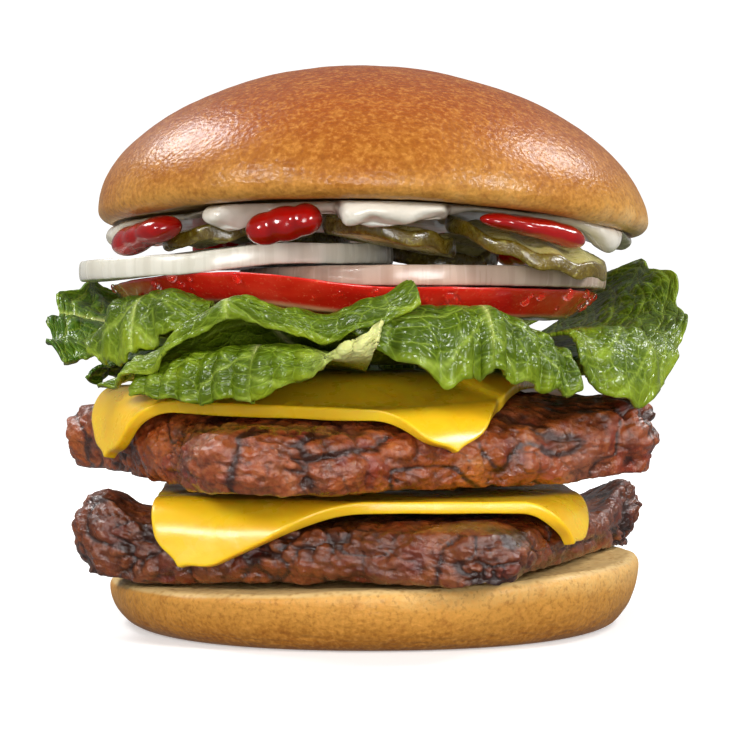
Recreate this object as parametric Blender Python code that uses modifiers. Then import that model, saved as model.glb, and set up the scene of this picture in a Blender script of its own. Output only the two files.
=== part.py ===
"""A double cheeseburger, built from the heel bun upwards, as it stands on a table.

Units are metres, +Z is up and the origin is the middle of the heel bun's flat base.
The front of the burger faces -Y. Every layer is laid on a bed, a smooth height over
the table, so that each piece follows the one under it with a thin gap between them.
"""

import math

import bmesh
import bpy
from mathutils import Matrix, Vector, noise

GAP = 0.0004  # air between two pieces that touch

# Heel bun
HEEL_RADIUS = 0.0570
HEEL_CENTRE_X = 0.0006
HEEL_FLAT_RADIUS = 0.0495
HEEL_HEIGHT = 0.0126
HEEL_TILT = 0.20  # share by which the heel is taller at +X and shorter at -X
HEEL_SIDE = 0.0105  # height at which its side is widest

# Patties: square, turned about Z, each with a rounded edge
PATTY_CORNER = 0.0110
PATTY_EDGE = 0.0060
PATTY_LUMP = 0.0016  # how far the meat's side is set back between its lumps
LOWER_PATTY_HALF = 0.0512
LOWER_PATTY_TOP = 0.0262
LOWER_PATTY_END_RISE = 0.0056  # how much higher the corners at +X and -X are
LOWER_PATTY_PAST_HEEL = 0.0018  # how far its base levels out past the heel's edge
LOWER_PATTY_FRONT_SAG = 0.0012
LOWER_PATTY_TURN = math.radians(-22.4)
LOWER_PATTY_CENTRE = (-0.0004, 0.0)
UPPER_PATTY_HALF = 0.0520
UPPER_PATTY_BOTTOM = 0.0301
UPPER_PATTY_TOP = 0.0508
UPPER_PATTY_CURL_RIGHT = 0.0026  # how far its base curls up towards +X
UPPER_PATTY_CURL_LEFT = 0.0014
UPPER_PATTY_DOME = 0.0028  # how far the top falls from the middle to the edge
UPPER_PATTY_FRONT_FALL = 0.0038  # and how much more at the front
UPPER_PATTY_END_RISE = 0.0036  # how much higher the corner at +X is
UPPER_PATTY_TURN = math.radians(25.0)
UPPER_PATTY_CENTRE = (-0.0045, 0.0)

# Cheese slices: square, softened over the patties' edges
CHEESE_THICKNESS = 0.0026
CHEESE_FALL = math.radians(80.0)  # how steeply the overhang hangs
LOWER_CHEESE_HALF = 0.0444
LOWER_CHEESE_TURN = math.radians(2.6)
LOWER_CHEESE_CENTRE = (-0.0014, -0.0062)
UPPER_CHEESE_HALF = 0.0444
UPPER_CHEESE_TURN = math.radians(-18.3)
UPPER_CHEESE_CENTRE = (-0.0088, -0.0010)
CHEESE_CORNER = 0.060  # share by which the corners are drawn in, which blunts them

# Tomato and onion
TOMATO_RADIUS = 0.0534
TOMATO_THICKNESS = 0.0060
TOMATO_CENTRE = (-0.0040, 0.0010)
TOMATO_TOP = 0.0712
TOMATO_HUMP = 0.0031  # the slice's edge is lifted this much at the front left
ONION_THICKNESS = 0.0042
ONION_RADIUS = 0.0392
RIGHT_ONION_CENTRE = (0.0105, -0.0040)
LEFT_ONION_RADIUS = 0.0332
LEFT_ONION_CENTRE = (-0.0290, -0.0088)
LEFT_ONION_BED = 0.0732  # height of its base where it lies on the tomato
LEFT_ONION_CLIMB = 0.0035  # how much higher it lies on the right-hand slice

# Pickle chips
PICKLE_THICKNESS = 0.0032
CRINKLE_LENGTH = 0.0085
CRINKLE_HEIGHT = 0.0005

# Crown bun
CROWN_RADIUS = 0.0594
CROWN_RIM = 0.08535  # mean height of the rim
CROWN_RISE = 0.0347  # rim to top
CROWN_WAIST = 0.0030  # the dome is widest this far above the rim
CROWN_ARCH = 0.00185  # the rim is this much higher at the front and back, and lower at the sides
CROWN_LEAN = -0.0013  # height that the rim gains towards +X
CROWN_SHIFT = -0.0026  # how far the top is pushed along X
CROWN_HOLLOW = 0.0046  # how far the cut face is pushed up in the middle
CROWN_POWER = 1.81  # 2 makes the dome an ellipse
SAUCE_THICKNESS = 0.0014

STEPS = 32  # sides of the large round pieces
GOLDEN = (0.62, 0.33, 0.11)

collection = None


# Tools -----------------------------------------------------------------------------------


def smooth_step(value, start, end):
    """0 up to start, 1 from end on, and smooth between them."""
    t = min(1.0, max(0.0, (value - start) / (end - start)))
    return t * t * (3.0 - 2.0 * t)


def clear_scene():
    for old in list(bpy.data.objects):
        bpy.data.objects.remove(old)


def make_material(name, colour, roughness):
    material = bpy.data.materials.new(name)
    material.use_nodes = True
    shader = material.node_tree.nodes["Principled BSDF"]
    shader.inputs["Base Color"].default_value = (*colour, 1.0)
    shader.inputs["Roughness"].default_value = roughness
    shader.inputs["Metallic"].default_value = 0.0
    material.diffuse_color = (*colour, 1.0)
    return material


def add_piece(name, mesh, material):
    """Puts the mesh in the burger's collection as a named, smooth-shaded object."""
    piece = bpy.data.objects.new(name, mesh)
    collection.objects.link(piece)
    mesh.materials.clear()
    mesh.materials.append(material)
    mesh.shade_smooth()
    return piece


def bake(piece):
    """The piece's mesh with its modifiers applied; the piece itself is removed."""
    graph = bpy.context.evaluated_depsgraph_get()
    mesh = bpy.data.meshes.new_from_object(piece.evaluated_get(graph))
    bpy.data.objects.remove(piece)
    return mesh


def turned_mesh(profile, steps):
    """Turns (radius, height) points, listed from the top's middle to the base's, about Z."""
    mesh = bpy.data.meshes.new("profile")
    edges = [(i, i + 1) for i in range(len(profile) - 1)]
    mesh.from_pydata([(r, 0.0, z) for r, z in profile], edges, [])
    piece = bpy.data.objects.new("profile", mesh)
    bpy.context.scene.collection.objects.link(piece)
    screw = piece.modifiers.new("Turn", "SCREW")
    screw.steps = steps
    screw.render_steps = steps
    screw.use_merge_vertices = True
    screw.merge_threshold = 0.00001
    return bake(piece)


def slab_profile(radius, thickness, rim_depth, rings, bulge=0.5):
    """A round slice: flat faces in rings, and a rim that stands out by rim_depth at half height."""
    face = [radius - rim_depth - i * (radius - rim_depth) / rings for i in range(rings)]
    top = [(0.0, thickness)] + [(r, thickness) for r in reversed(face)]
    rim = [
        (radius - rim_depth * (1 - math.sin(a)) ** bulge * 0.8, thickness / 2 * (1 + math.cos(a)))
        for a in (math.radians(d) for d in (45, 90, 135))
    ]
    base = [(r, 0.0) for r in face] + [(0.0, 0.0)]
    return top + rim + base


def reshape(mesh, move):
    """Moves every vertex of the mesh to where move(point) puts it."""
    for vertex in mesh.vertices:
        vertex.co = move(vertex.co.copy())
    return mesh


def turn_about_z(point, angle):
    return Matrix.Rotation(angle, 3, "Z") @ point


def rounded_square_distance(x, y, half, corner):
    """Distance from (x, y) to the outline of a square with round corners; negative inside."""
    qx = abs(x) - (half - corner)
    qy = abs(y) - (half - corner)
    outside = math.hypot(max(qx, 0.0), max(qy, 0.0))
    return outside + min(max(qx, qy), 0.0) - corner


# Beds: the heights that the layers share ----------------------------------------------------


def heel_top(x, y):
    return HEEL_HEIGHT * (1.0 + HEEL_TILT * x / HEEL_RADIUS)


def tomato_top(x, y):
    """Flat in the middle, with the edge lifted towards -X."""
    bump = smooth_step(x, -0.075, -0.035) - smooth_step(x, -0.028, 0.004)
    return TOMATO_TOP + TOMATO_HUMP * bump * smooth_step(math.hypot(x, y), 0.038, 0.048)


def right_onion_bed(x, y):
    return TOMATO_TOP + GAP


def left_onion_bed(x, y):
    """Starts on the tomato at -X and climbs over the right-hand slice."""
    return LEFT_ONION_BED + LEFT_ONION_CLIMB * smooth_step(x + 0.35 * (y + 0.042), -0.051, -0.012)


def crown_rim(x, y):
    """Height of the crown's rim in the direction of (x, y)."""
    angle = math.atan2(y, x)
    lean = CROWN_LEAN * math.cos(angle)
    return CROWN_RIM - CROWN_ARCH * math.cos(2.0 * angle) + lean


def crown_base(x, y):
    """Underside of the crown bun: its rim's height, pushed up in the middle."""
    share = min(1.0, math.hypot(x, y) / CROWN_RADIUS)
    middle = CROWN_RIM + CROWN_HOLLOW
    return middle + (crown_rim(x, y) - middle) * share**2


# Buns -------------------------------------------------------------------------------------


def heel_bun(material):
    side_steps = 4
    corner = 0.0012
    profile = [(0.0, HEEL_HEIGHT), (0.026, HEEL_HEIGHT), (HEEL_RADIUS - 2.5 * corner, HEEL_HEIGHT)]
    profile.append((HEEL_RADIUS - 0.6 * corner, HEEL_HEIGHT - 0.6 * corner))
    for i in range(side_steps + 1):
        angle = math.radians(90.0 * (1 - i / side_steps))
        radius = HEEL_FLAT_RADIUS + (HEEL_RADIUS - HEEL_FLAT_RADIUS) * math.sin(angle)
        profile.append((radius, HEEL_SIDE * (1.0 - math.cos(angle))))
    profile += [(0.024, 0.0), (0.0, 0.0)]

    def press(p):
        angle = math.atan2(p.y, p.x)
        swell = 1.0 + 0.012 * math.sin(2 * angle + 0.6) + 0.006 * math.sin(5 * angle)
        x, y = p.x * swell + HEEL_CENTRE_X, p.y * swell
        return Vector((x, y, p.z * heel_top(x, y) / HEEL_HEIGHT))

    return add_piece("bun_heel", reshape(turned_mesh(profile, STEPS), press), material)


def crown_bun(material):
    dome_steps = 8
    profile = []
    for i in range(dome_steps + 1):
        angle = math.radians(90.0 * i / dome_steps)
        power = 2.0 / CROWN_POWER
        dome = (CROWN_RISE - CROWN_WAIST) * math.cos(angle) ** power
        profile.append((CROWN_RADIUS * math.sin(angle) ** power, CROWN_WAIST + dome))
    profile += [(CROWN_RADIUS - 0.0010, 0.0010), (CROWN_RADIUS - 0.0040, 0.0)]
    profile += [(0.040, 0.0), (0.020, 0.0), (0.0, 0.0)]

    def seat(p):
        swell = 1.0 + 0.006 * math.sin(3 * math.atan2(p.y, p.x) + 1.0)
        x = p.x * swell + CROWN_SHIFT * (p.z / CROWN_RISE) ** 1.5
        y = p.y * swell
        if p.z <= 0.0:
            return Vector((x, y, crown_base(x, y)))
        rim = crown_rim(x, y)
        return Vector((x, y, rim + p.z + (CROWN_RIM - rim) * smooth_step(p.z, 0.0, CROWN_RISE)))

    return add_piece("bun_crown", reshape(turned_mesh(profile, STEPS), seat), material)


# Patties ----------------------------------------------------------------------------------


def patty_mesh(cuts, levels):
    """A slab from -1 to 1 each way, with cuts by levels squares on its sides."""
    mesh = bpy.data.meshes.new("patty")
    shape = bmesh.new()
    bmesh.ops.create_cube(shape, size=2.0)
    upright = [e for e in shape.edges if abs(e.verts[0].co.z - e.verts[1].co.z) > 1.0]
    flat = [e for e in shape.edges if e not in upright]
    bmesh.ops.subdivide_edges(shape, edges=flat, cuts=cuts - 1, use_grid_fill=True)
    tall = [e for e in shape.edges if abs(e.verts[0].co.z - e.verts[1].co.z) > 1.0]
    bmesh.ops.subdivide_edges(shape, edges=tall, cuts=levels - 1, use_grid_fill=True)
    shape.to_mesh(mesh)
    shape.free()
    return mesh


def patty(name, material, half, turn, centre, base, top, seed):
    """A pressed square of minced meat between the heights base(x, y) and top(x, y)."""

    def form(p):
        flat = Vector((p.x * half, p.y * half, 0.0))
        limit = half - PATTY_CORNER
        core = Vector((max(-limit, min(limit, flat.x)), max(-limit, min(limit, flat.y)), 0.0))
        reach = flat - core
        on_side = max(abs(p.x), abs(p.y)) > 0.999
        if reach.length > 1e-9:
            longest = max(abs(reach.x), abs(reach.y))
            flat = core + reach.normalized() * longest
        # The side bulges: full width at half height, drawn in at the top and the base.
        draw_in = PATTY_EDGE * (1.0 - math.sqrt(1.0 - (0.85 * p.z) ** 2))
        if on_side and reach.length > 1e-9:
            flat -= reach.normalized() * draw_in
        plan = turn_about_z(flat, turn) + Vector((centre[0], centre[1], 0.0))
        low, high = base(plan.x, plan.y), top(plan.x, plan.y)
        rim = smooth_step(max(abs(p.x), abs(p.y)), 0.78, 1.0)
        height = low + (high - low) * (p.z + 1.0) / 2.0
        inward = PATTY_EDGE * (0.30 if p.z > 0 else 0.10) * rim * p.z
        out = Vector((plan.x - centre[0], plan.y - centre[1], 0.0)).normalized()
        lump = noise.noise(Vector((plan.x, plan.y, height)) * 95.0 + Vector((seed, 0, 0)))
        set_back = PATTY_LUMP * (0.5 - 0.5 * lump) * rim
        return Vector((plan.x, plan.y, height - inward)) - out * set_back

    return add_piece(name, reshape(patty_mesh(9, 4), form), material)


def lower_patty_base(x, y):
    """On the heel; past the heel's edge it levels out."""
    past = smooth_step(abs(x), 0.048, 0.062)
    sag = LOWER_PATTY_FRONT_SAG * smooth_step(-y, 0.052, 0.062)
    return heel_top(x, y) + GAP - math.copysign(LOWER_PATTY_PAST_HEEL, x) * past - sag


def lower_patty_top(x, y):
    """Pressed flat in the middle, thicker in the corners that stand out."""
    return LOWER_PATTY_TOP + LOWER_PATTY_END_RISE * smooth_step(abs(x), 0.050, 0.058)


def upper_patty_base(x, y):
    """Curls up in the corner at +X, and a little at -X."""
    curl = UPPER_PATTY_CURL_RIGHT if x > 0.0 else UPPER_PATTY_CURL_LEFT
    return UPPER_PATTY_BOTTOM + curl * smooth_step(abs(x), 0.030, 0.062)


def upper_patty_top(x, y):
    """Highest in the middle, and falls away to the edge, most of all at the front."""
    dome = UPPER_PATTY_DOME * smooth_step(math.hypot(x, y), 0.026, 0.052)
    front = UPPER_PATTY_FRONT_FALL * smooth_step(-y, 0.018, 0.050)
    return UPPER_PATTY_TOP - dome - front + UPPER_PATTY_END_RISE * smooth_step(x, 0.034, 0.060)


# Cheese -----------------------------------------------------------------------------------


def cheese(name, material, size, turn, centre, patty_half, patty_turn, patty_centre, top):
    """A square slice laid on a patty. What stands out past the patty bends down its side."""
    mesh = bpy.data.meshes.new(name)
    shape = bmesh.new()
    bmesh.ops.create_grid(shape, x_segments=10, y_segments=10, size=size)
    shape.to_mesh(mesh)
    shape.free()
    bend = PATTY_EDGE + GAP
    half, corner = patty_half + 4 * GAP, PATTY_CORNER

    def distance(q):
        return rounded_square_distance(q.x, q.y, half, corner)

    def drape(p):
        p = p * (1.0 - CHEESE_CORNER * smooth_step(min(abs(p.x), abs(p.y)) / size, 0.75, 1.0))
        plan = turn_about_z(p, turn) + Vector((*centre, 0.0))
        local = turn_about_z(plan - Vector((*patty_centre, 0.0)), -patty_turn)
        past = distance(local) + bend
        if past <= 0.0:
            return Vector((plan.x, plan.y, top(plan.x, plan.y) + 2 * GAP))
        step = 0.0002
        out = Vector((
            distance(local + Vector((step, 0, 0))) - distance(local - Vector((step, 0, 0))),
            distance(local + Vector((0, step, 0))) - distance(local - Vector((0, step, 0))),
            0.0,
        )).normalized()
        angle = min(past / bend, CHEESE_FALL)
        rest = max(0.0, past - bend * CHEESE_FALL)
        across = bend * math.sin(angle) + rest * math.cos(CHEESE_FALL)
        down = bend * (1.0 - math.cos(angle)) + rest * math.sin(CHEESE_FALL)
        edge = local - out * past
        moved = turn_about_z(edge + out * across, patty_turn) + Vector((*patty_centre, 0.0))
        start = turn_about_z(edge, patty_turn) + Vector((*patty_centre, 0.0))
        return Vector((moved.x, moved.y, top(start.x, start.y) + 2 * GAP - down))

    piece = add_piece(name, reshape(mesh, drape), material)
    thicken = piece.modifiers.new("Thickness", "SOLIDIFY")
    thicken.thickness = CHEESE_THICKNESS
    thicken.offset = 1.0
    return piece


# Lettuce ----------------------------------------------------------------------------------

LEAF_THICKNESS = 0.0009
LEAF_ROOT = 14.0  # mm from the burger's middle to where each leaf starts
LEAF_LYING = 42.0  # mm from the middle over which a leaf lies flat

# Each leaf is laid from the middle outwards at height level (mm), and is drawn through ribs.
# A rib is its direction in degrees, seen from above with -90 at the front, then the radius
# and height (mm) that it bends towards, and the radius and height of its edge.
# Frill is the size (mm) and number of the edge's waves; pleat is the depth of its folds.
LEAVES = {
    "lettuce_left": dict(level=59.8, frill=(0.8, 5), pleat=0.0, ribs=(
        (153, 64, 62, 64, 71.0),
        (165, 66, 66, 67, 73.0),
        (177, 66, 66, 70, 68.0),
        (188, 66, 62, 70, 60.5),
        (198, 60, 60, 67, 56.5),
    )),
    "lettuce_front_left": dict(level=58.6, frill=(0.5, 4), pleat=0.0, ribs=(
        (200, 62, 68, 61, 58.0),
        (208, 64, 82, 61, 56.5),
        (216, 63, 84, 60, 58.0),
        (224, 61, 81, 57, 62.0),
        (232, 56, 72, 52, 65.0),
    )),
    "lettuce_front": dict(level=57.2, frill=(0.5, 6), pleat=0.0, ribs=(
        (211, 60, 54, 63, 52.0),
        (226, 62, 64, 63, 56.0),
        (243, 63, 77, 61, 65.0),
        (260, 62, 72, 60, 61.5),
        (278, 61, 79, 58, 67.0),
    )),
    "lettuce_front_low": dict(level=54.9, frill=(0.4, 5), pleat=0.7, ribs=(
        (221, 62, 57, 62, 50.5),
        (234, 65, 64, 61, 49.5),
        (247, 65, 66, 61, 50.5),
        (260, 66, 62, 62, 54.5),
        (271, 68, 53, 63, 63.0),
    )),
    "lettuce_front_right": dict(level=56.0, frill=(0.7, 6), pleat=0.3, ribs=(
        (267, 58, 73, 57, 61.5),
        (283, 63, 80, 61, 53.0),
        (292, 64, 79, 61, 54.5),
        (301, 65, 75, 62, 51.5),
        (309, 62, 66, 63, 51.0),
    )),
    "lettuce_right": dict(level=57.4, frill=(0.8, 7), pleat=0.0, ribs=(
        (-47, 58, 70, 60, 56.0),
        (-35, 64, 76, 65, 49.0),
        (-20, 64, 72, 66, 55.0),
        (-3, 62, 66, 68, 67.0),
        (14, 60, 68, 66, 77.0),
        (32, 60, 70, 61, 76.5),
    )),
    "lettuce_back_right": dict(level=55.4, frill=(0.8, 8), pleat=0.3, ribs=(
        (-2, 62, 60, 62, 56.0),
        (15, 65, 66, 63, 51.5),
        (32, 65, 70, 63, 54.0),
        (48, 65, 67, 63, 51.0),
        (64, 64, 66, 61, 53.0),
        (80, 60, 58, 60, 51.0),
    )),
    "lettuce_back": dict(level=57.4, frill=(0.7, 7), pleat=0.0, ribs=(
        (35, 60, 72, 60, 70.0),
        (59, 63, 78, 61, 63.5),
        (78, 65, 78, 64, 53.5),
        (97, 64, 80, 64, 53.0),
        (116, 63, 76, 62, 63.0),
        (135, 60, 72, 60, 60.0),
    )),
    "lettuce_back_left": dict(level=55.0, frill=(0.8, 8), pleat=0.3, ribs=(
        (86, 62, 58, 61, 51.5),
        (103, 65, 67, 63, 50.5),
        (120, 65, 68, 62, 53.0),
        (137, 66, 66, 64, 50.5),
        (154, 65, 67, 63, 53.0),
        (172, 62, 59, 62, 52.0),
    )),
}
LEAF_HEART_RADIUS = 29.0  # mm; the folded leaf in the middle, under the tomato
LEAF_HEART_HEIGHT = 63.0
LEAF_HEART_WAVE = 1.2


def through(values, t):
    """A smooth curve through equally spaced values, for t from 0 to 1."""
    last = len(values) - 1
    i = min(int(t * last), last - 1)
    f = t * last - i
    a, b = values[i], values[i + 1]
    before = values[i - 1] if i > 0 else 2 * a - b
    after = values[i + 2] if i + 2 <= last else 2 * b - a
    slope_a, slope_b = (b - before) / 2, (after - a) / 2
    f2, f3 = f * f, f * f * f
    ends = (2 * f3 - 3 * f2 + 1) * a + (3 * f2 - 2 * f3) * b
    return ends + (f3 - 2 * f2 + f) * slope_a + (f3 - f2) * slope_b


def bezier(a, b, c, d, t):
    s = 1.0 - t
    return s * s * s * a + 3 * s * s * t * b + 3 * s * t * t * c + t * t * t * d


def leaf_point(leaf, across, along):
    """A point of the leaf, from its shares across (round the burger) and along (outwards)."""
    angle, bend_r, bend_z, edge_r, edge_z = (through(column, across) for column in zip(*leaf["ribs"]))
    middle = leaf["ribs"][len(leaf["ribs"]) // 2][0]
    angle = middle + (angle - middle) * (0.80 + 0.20 * along)
    size, waves = leaf["frill"]
    wave = 2 * math.pi * waves * across
    frill = size * along**3
    pleat = leaf["pleat"] * along**2 * math.sin(2.6 * wave)
    radius = bezier(LEAF_ROOT, LEAF_LYING, bend_r, edge_r, along) + frill * math.cos(wave) + pleat
    height = bezier(leaf["level"], leaf["level"], bend_z, edge_z, along) + frill * math.sin(wave + 1.0)
    turn = math.radians(angle)
    return Vector((radius * math.cos(turn), radius * math.sin(turn), height)) * 0.001


def lettuce_leaf(name, leaf, material):
    mesh = bpy.data.meshes.new(name)
    shape = bmesh.new()
    directions = [rib[0] for rib in leaf["ribs"]]
    across_cells = max(9, round((max(directions) - min(directions)) / 6.0))
    if leaf["pleat"] > 0.5:
        across_cells = 20
    bmesh.ops.create_grid(shape, x_segments=across_cells, y_segments=5, size=1.0)
    shape.to_mesh(mesh)
    shape.free()
    reshape(mesh, lambda p: leaf_point(leaf, (p.x + 1.0) / 2.0, (p.y + 1.0) / 2.0))
    piece = add_piece(name, mesh, material)
    thicken = piece.modifiers.new("Thickness", "SOLIDIFY")
    thicken.thickness = LEAF_THICKNESS
    thicken.offset = 0.0
    return piece


def lettuce_heart(material):
    """A round, wavy leaf in the middle, between the spread leaves and the tomato."""
    mesh = bpy.data.meshes.new("lettuce_heart")
    shape = bmesh.new()
    bmesh.ops.create_grid(shape, x_segments=7, y_segments=7, size=1.0)
    shape.to_mesh(mesh)
    shape.free()

    def round_off(p):
        longest = max(abs(p.x), abs(p.y))
        length = math.hypot(p.x, p.y) or 1.0
        x = p.x * longest / length * LEAF_HEART_RADIUS
        y = p.y * longest / length * LEAF_HEART_RADIUS
        wave = math.sin(x / 9.0 + 0.6) * math.cos(y / 11.0)
        return Vector((x, y, LEAF_HEART_HEIGHT + LEAF_HEART_WAVE * wave)) * 0.001

    piece = add_piece("lettuce_heart", reshape(mesh, round_off), material)
    thicken = piece.modifiers.new("Thickness", "SOLIDIFY")
    thicken.thickness = LEAF_THICKNESS
    thicken.offset = 0.0
    return piece


# Tomato, onion and pickles ------------------------------------------------------------------


def laid_slice(name, material, radius, thickness, rim_depth, centre, bed, steps, oval=0.0, taper=0.0):
    """A round slice that follows the height bed(x, y) of what it lies on."""
    rings = 4 if radius > 0.045 else 3

    def lay(p):
        angle = math.atan2(p.y, p.x)
        swell = 1.0 + oval * math.cos(2 * angle + 0.5) + 0.4 * oval * math.cos(3 * angle)
        draw_in = 1.0 - taper * (1.0 - p.z / thickness)
        x = centre[0] + p.x * swell * draw_in
        y = centre[1] + p.y * swell * draw_in
        return Vector((x, y, bed(x, y) + p.z))

    mesh = turned_mesh(slab_profile(radius, thickness, rim_depth, rings), steps)
    return add_piece(name, reshape(mesh, lay), material)


def pickle_chip(name, material, radius, centre, lean_x, lean_y, turn, sag=0.0):
    """A crinkle-cut chip. centre is the middle of its base; the leans are slopes along X and Y,
    and sag is the slope at which it droops past the edge of the right-hand onion."""

    def form(p):
        crinkle = CRINKLE_HEIGHT * math.sin(2 * math.pi * p.x / CRINKLE_LENGTH)
        q = turn_about_z(p, turn)
        x, y = centre[0] + q.x, centre[1] + q.y
        off_onion = math.hypot(x - RIGHT_ONION_CENTRE[0], y - RIGHT_ONION_CENTRE[1]) - ONION_RADIUS
        z = centre[2] + p.z + crinkle + lean_x * q.x + lean_y * q.y - sag * max(0.0, off_onion)
        return Vector((x, y, z))

    profile = slab_profile(radius, PICKLE_THICKNESS, 0.0007, 2)
    return add_piece(name, reshape(turned_mesh(profile, 18), form), material)


# Sauces -----------------------------------------------------------------------------------

# Dollops of ketchup under the crown's rim. Each is squeezed out at a direction in degrees and
# a distance from the middle; its width, depth and height are in mm, and so is its drop below
# the crown.
KETCHUP = {
    "ketchup_left": dict(angle=-147, out=55.4, width=25.0, depth=8.6, height=6.2, drop=0.0, slant=-0.10),
    "ketchup_middle": dict(angle=-109, out=52.5, width=16.0, depth=9.0, height=7.0, drop=0.0, slant=0.0),
    "ketchup_right": dict(angle=-54, out=55.2, width=27.0, depth=7.6, height=5.2, drop=0.0, slant=0.24),
    "ketchup_back_right": dict(angle=48, out=54.0, width=18.0, depth=9.0, height=6.0, drop=0.2, slant=0.1),
    "ketchup_back_left": dict(angle=130, out=54.5, width=18.0, depth=9.0, height=6.0, drop=0.2, slant=0.0),
}

# Where the mayonnaise runs over the edge: direction, spread in degrees, and how far down in mm.
MAYONNAISE_RUNS = ((-178, 7, 5.0), (-122, 9, 3.4), (-92, 12, 4.5), (-74, 9, 1.5), (-26, 7, 3.6),
                   (3, 10, 3.4), (90, 20, 4.0), (155, 12, 3.5))
MAYONNAISE_RADIUS = 0.0545


def turn_between(a, b):
    """The angle in radians from b to a, between -pi and pi."""
    return (a - b + math.pi) % (2 * math.pi) - math.pi


def mayonnaise(material):
    """A spread layer under the crown. Its edge runs down here and there, and draws back at the ketchup."""

    def spread(p):
        angle = math.atan2(p.y, p.x)
        share = math.hypot(p.x, p.y) / MAYONNAISE_RADIUS
        reach = 1.0
        for dollop in KETCHUP.values():
            half = 0.5 * dollop["width"] / dollop["out"]
            near = abs(turn_between(angle, math.radians(dollop["angle"])))
            reach -= 0.22 * (1.0 - smooth_step(near, half * 1.0, half * 1.6))
        run = 0.0
        for direction, spread_angle, depth in MAYONNAISE_RUNS:
            near = turn_between(angle, math.radians(direction)) / math.radians(spread_angle)
            run += depth * 0.001 * math.exp(-near * near)
        r = MAYONNAISE_RADIUS * share * (reach + 12.0 * run * smooth_step(share, 0.7, 1.0))
        x, y = r * math.cos(angle), r * math.sin(angle)
        thickness = SAUCE_THICKNESS + run * smooth_step(share, 0.84, 0.92)
        return Vector((x, y, crown_base(x, y) - GAP - thickness * (1.0 - p.z / SAUCE_THICKNESS)))

    rings = [MAYONNAISE_RADIUS * share for share in (0.0, 0.50, 0.86)]
    outer = slab_profile(MAYONNAISE_RADIUS, SAUCE_THICKNESS, 0.0030, 1)[1:-1]
    profile = [(r, SAUCE_THICKNESS) for r in rings] + outer + [(r, 0.0) for r in reversed(rings)]
    return add_piece("mayonnaise", reshape(turned_mesh(profile, 42), spread), material)


def ketchup_dollop(name, dollop, material):
    mesh = bpy.data.meshes.new(name)
    shape = bmesh.new()
    bmesh.ops.create_uvsphere(shape, u_segments=10, v_segments=7, radius=1.0)
    shape.to_mesh(mesh)
    shape.free()
    middle = math.radians(dollop["angle"])

    def squeeze(p):
        lobe = math.sqrt(1.0 + p.x**2) * (1.0 + 0.12 * math.cos(2.6 * p.x + 0.8))
        angle = middle + 0.5 * dollop["width"] * p.x / dollop["out"]
        radius = 0.001 * (dollop["out"] - 0.5 * dollop["depth"] * p.y * lobe)
        x, y = radius * math.cos(angle), radius * math.sin(angle)
        top = crown_base(x, y) - GAP - 0.001 * dollop["drop"]
        half = 0.0005 * dollop["height"] * lobe * (1.0 + dollop["slant"] * p.x)
        return Vector((x, y, top - half * (1.0 - p.z)))

    return add_piece(name, reshape(mesh, squeeze), material)


# The burger -------------------------------------------------------------------------------


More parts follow.
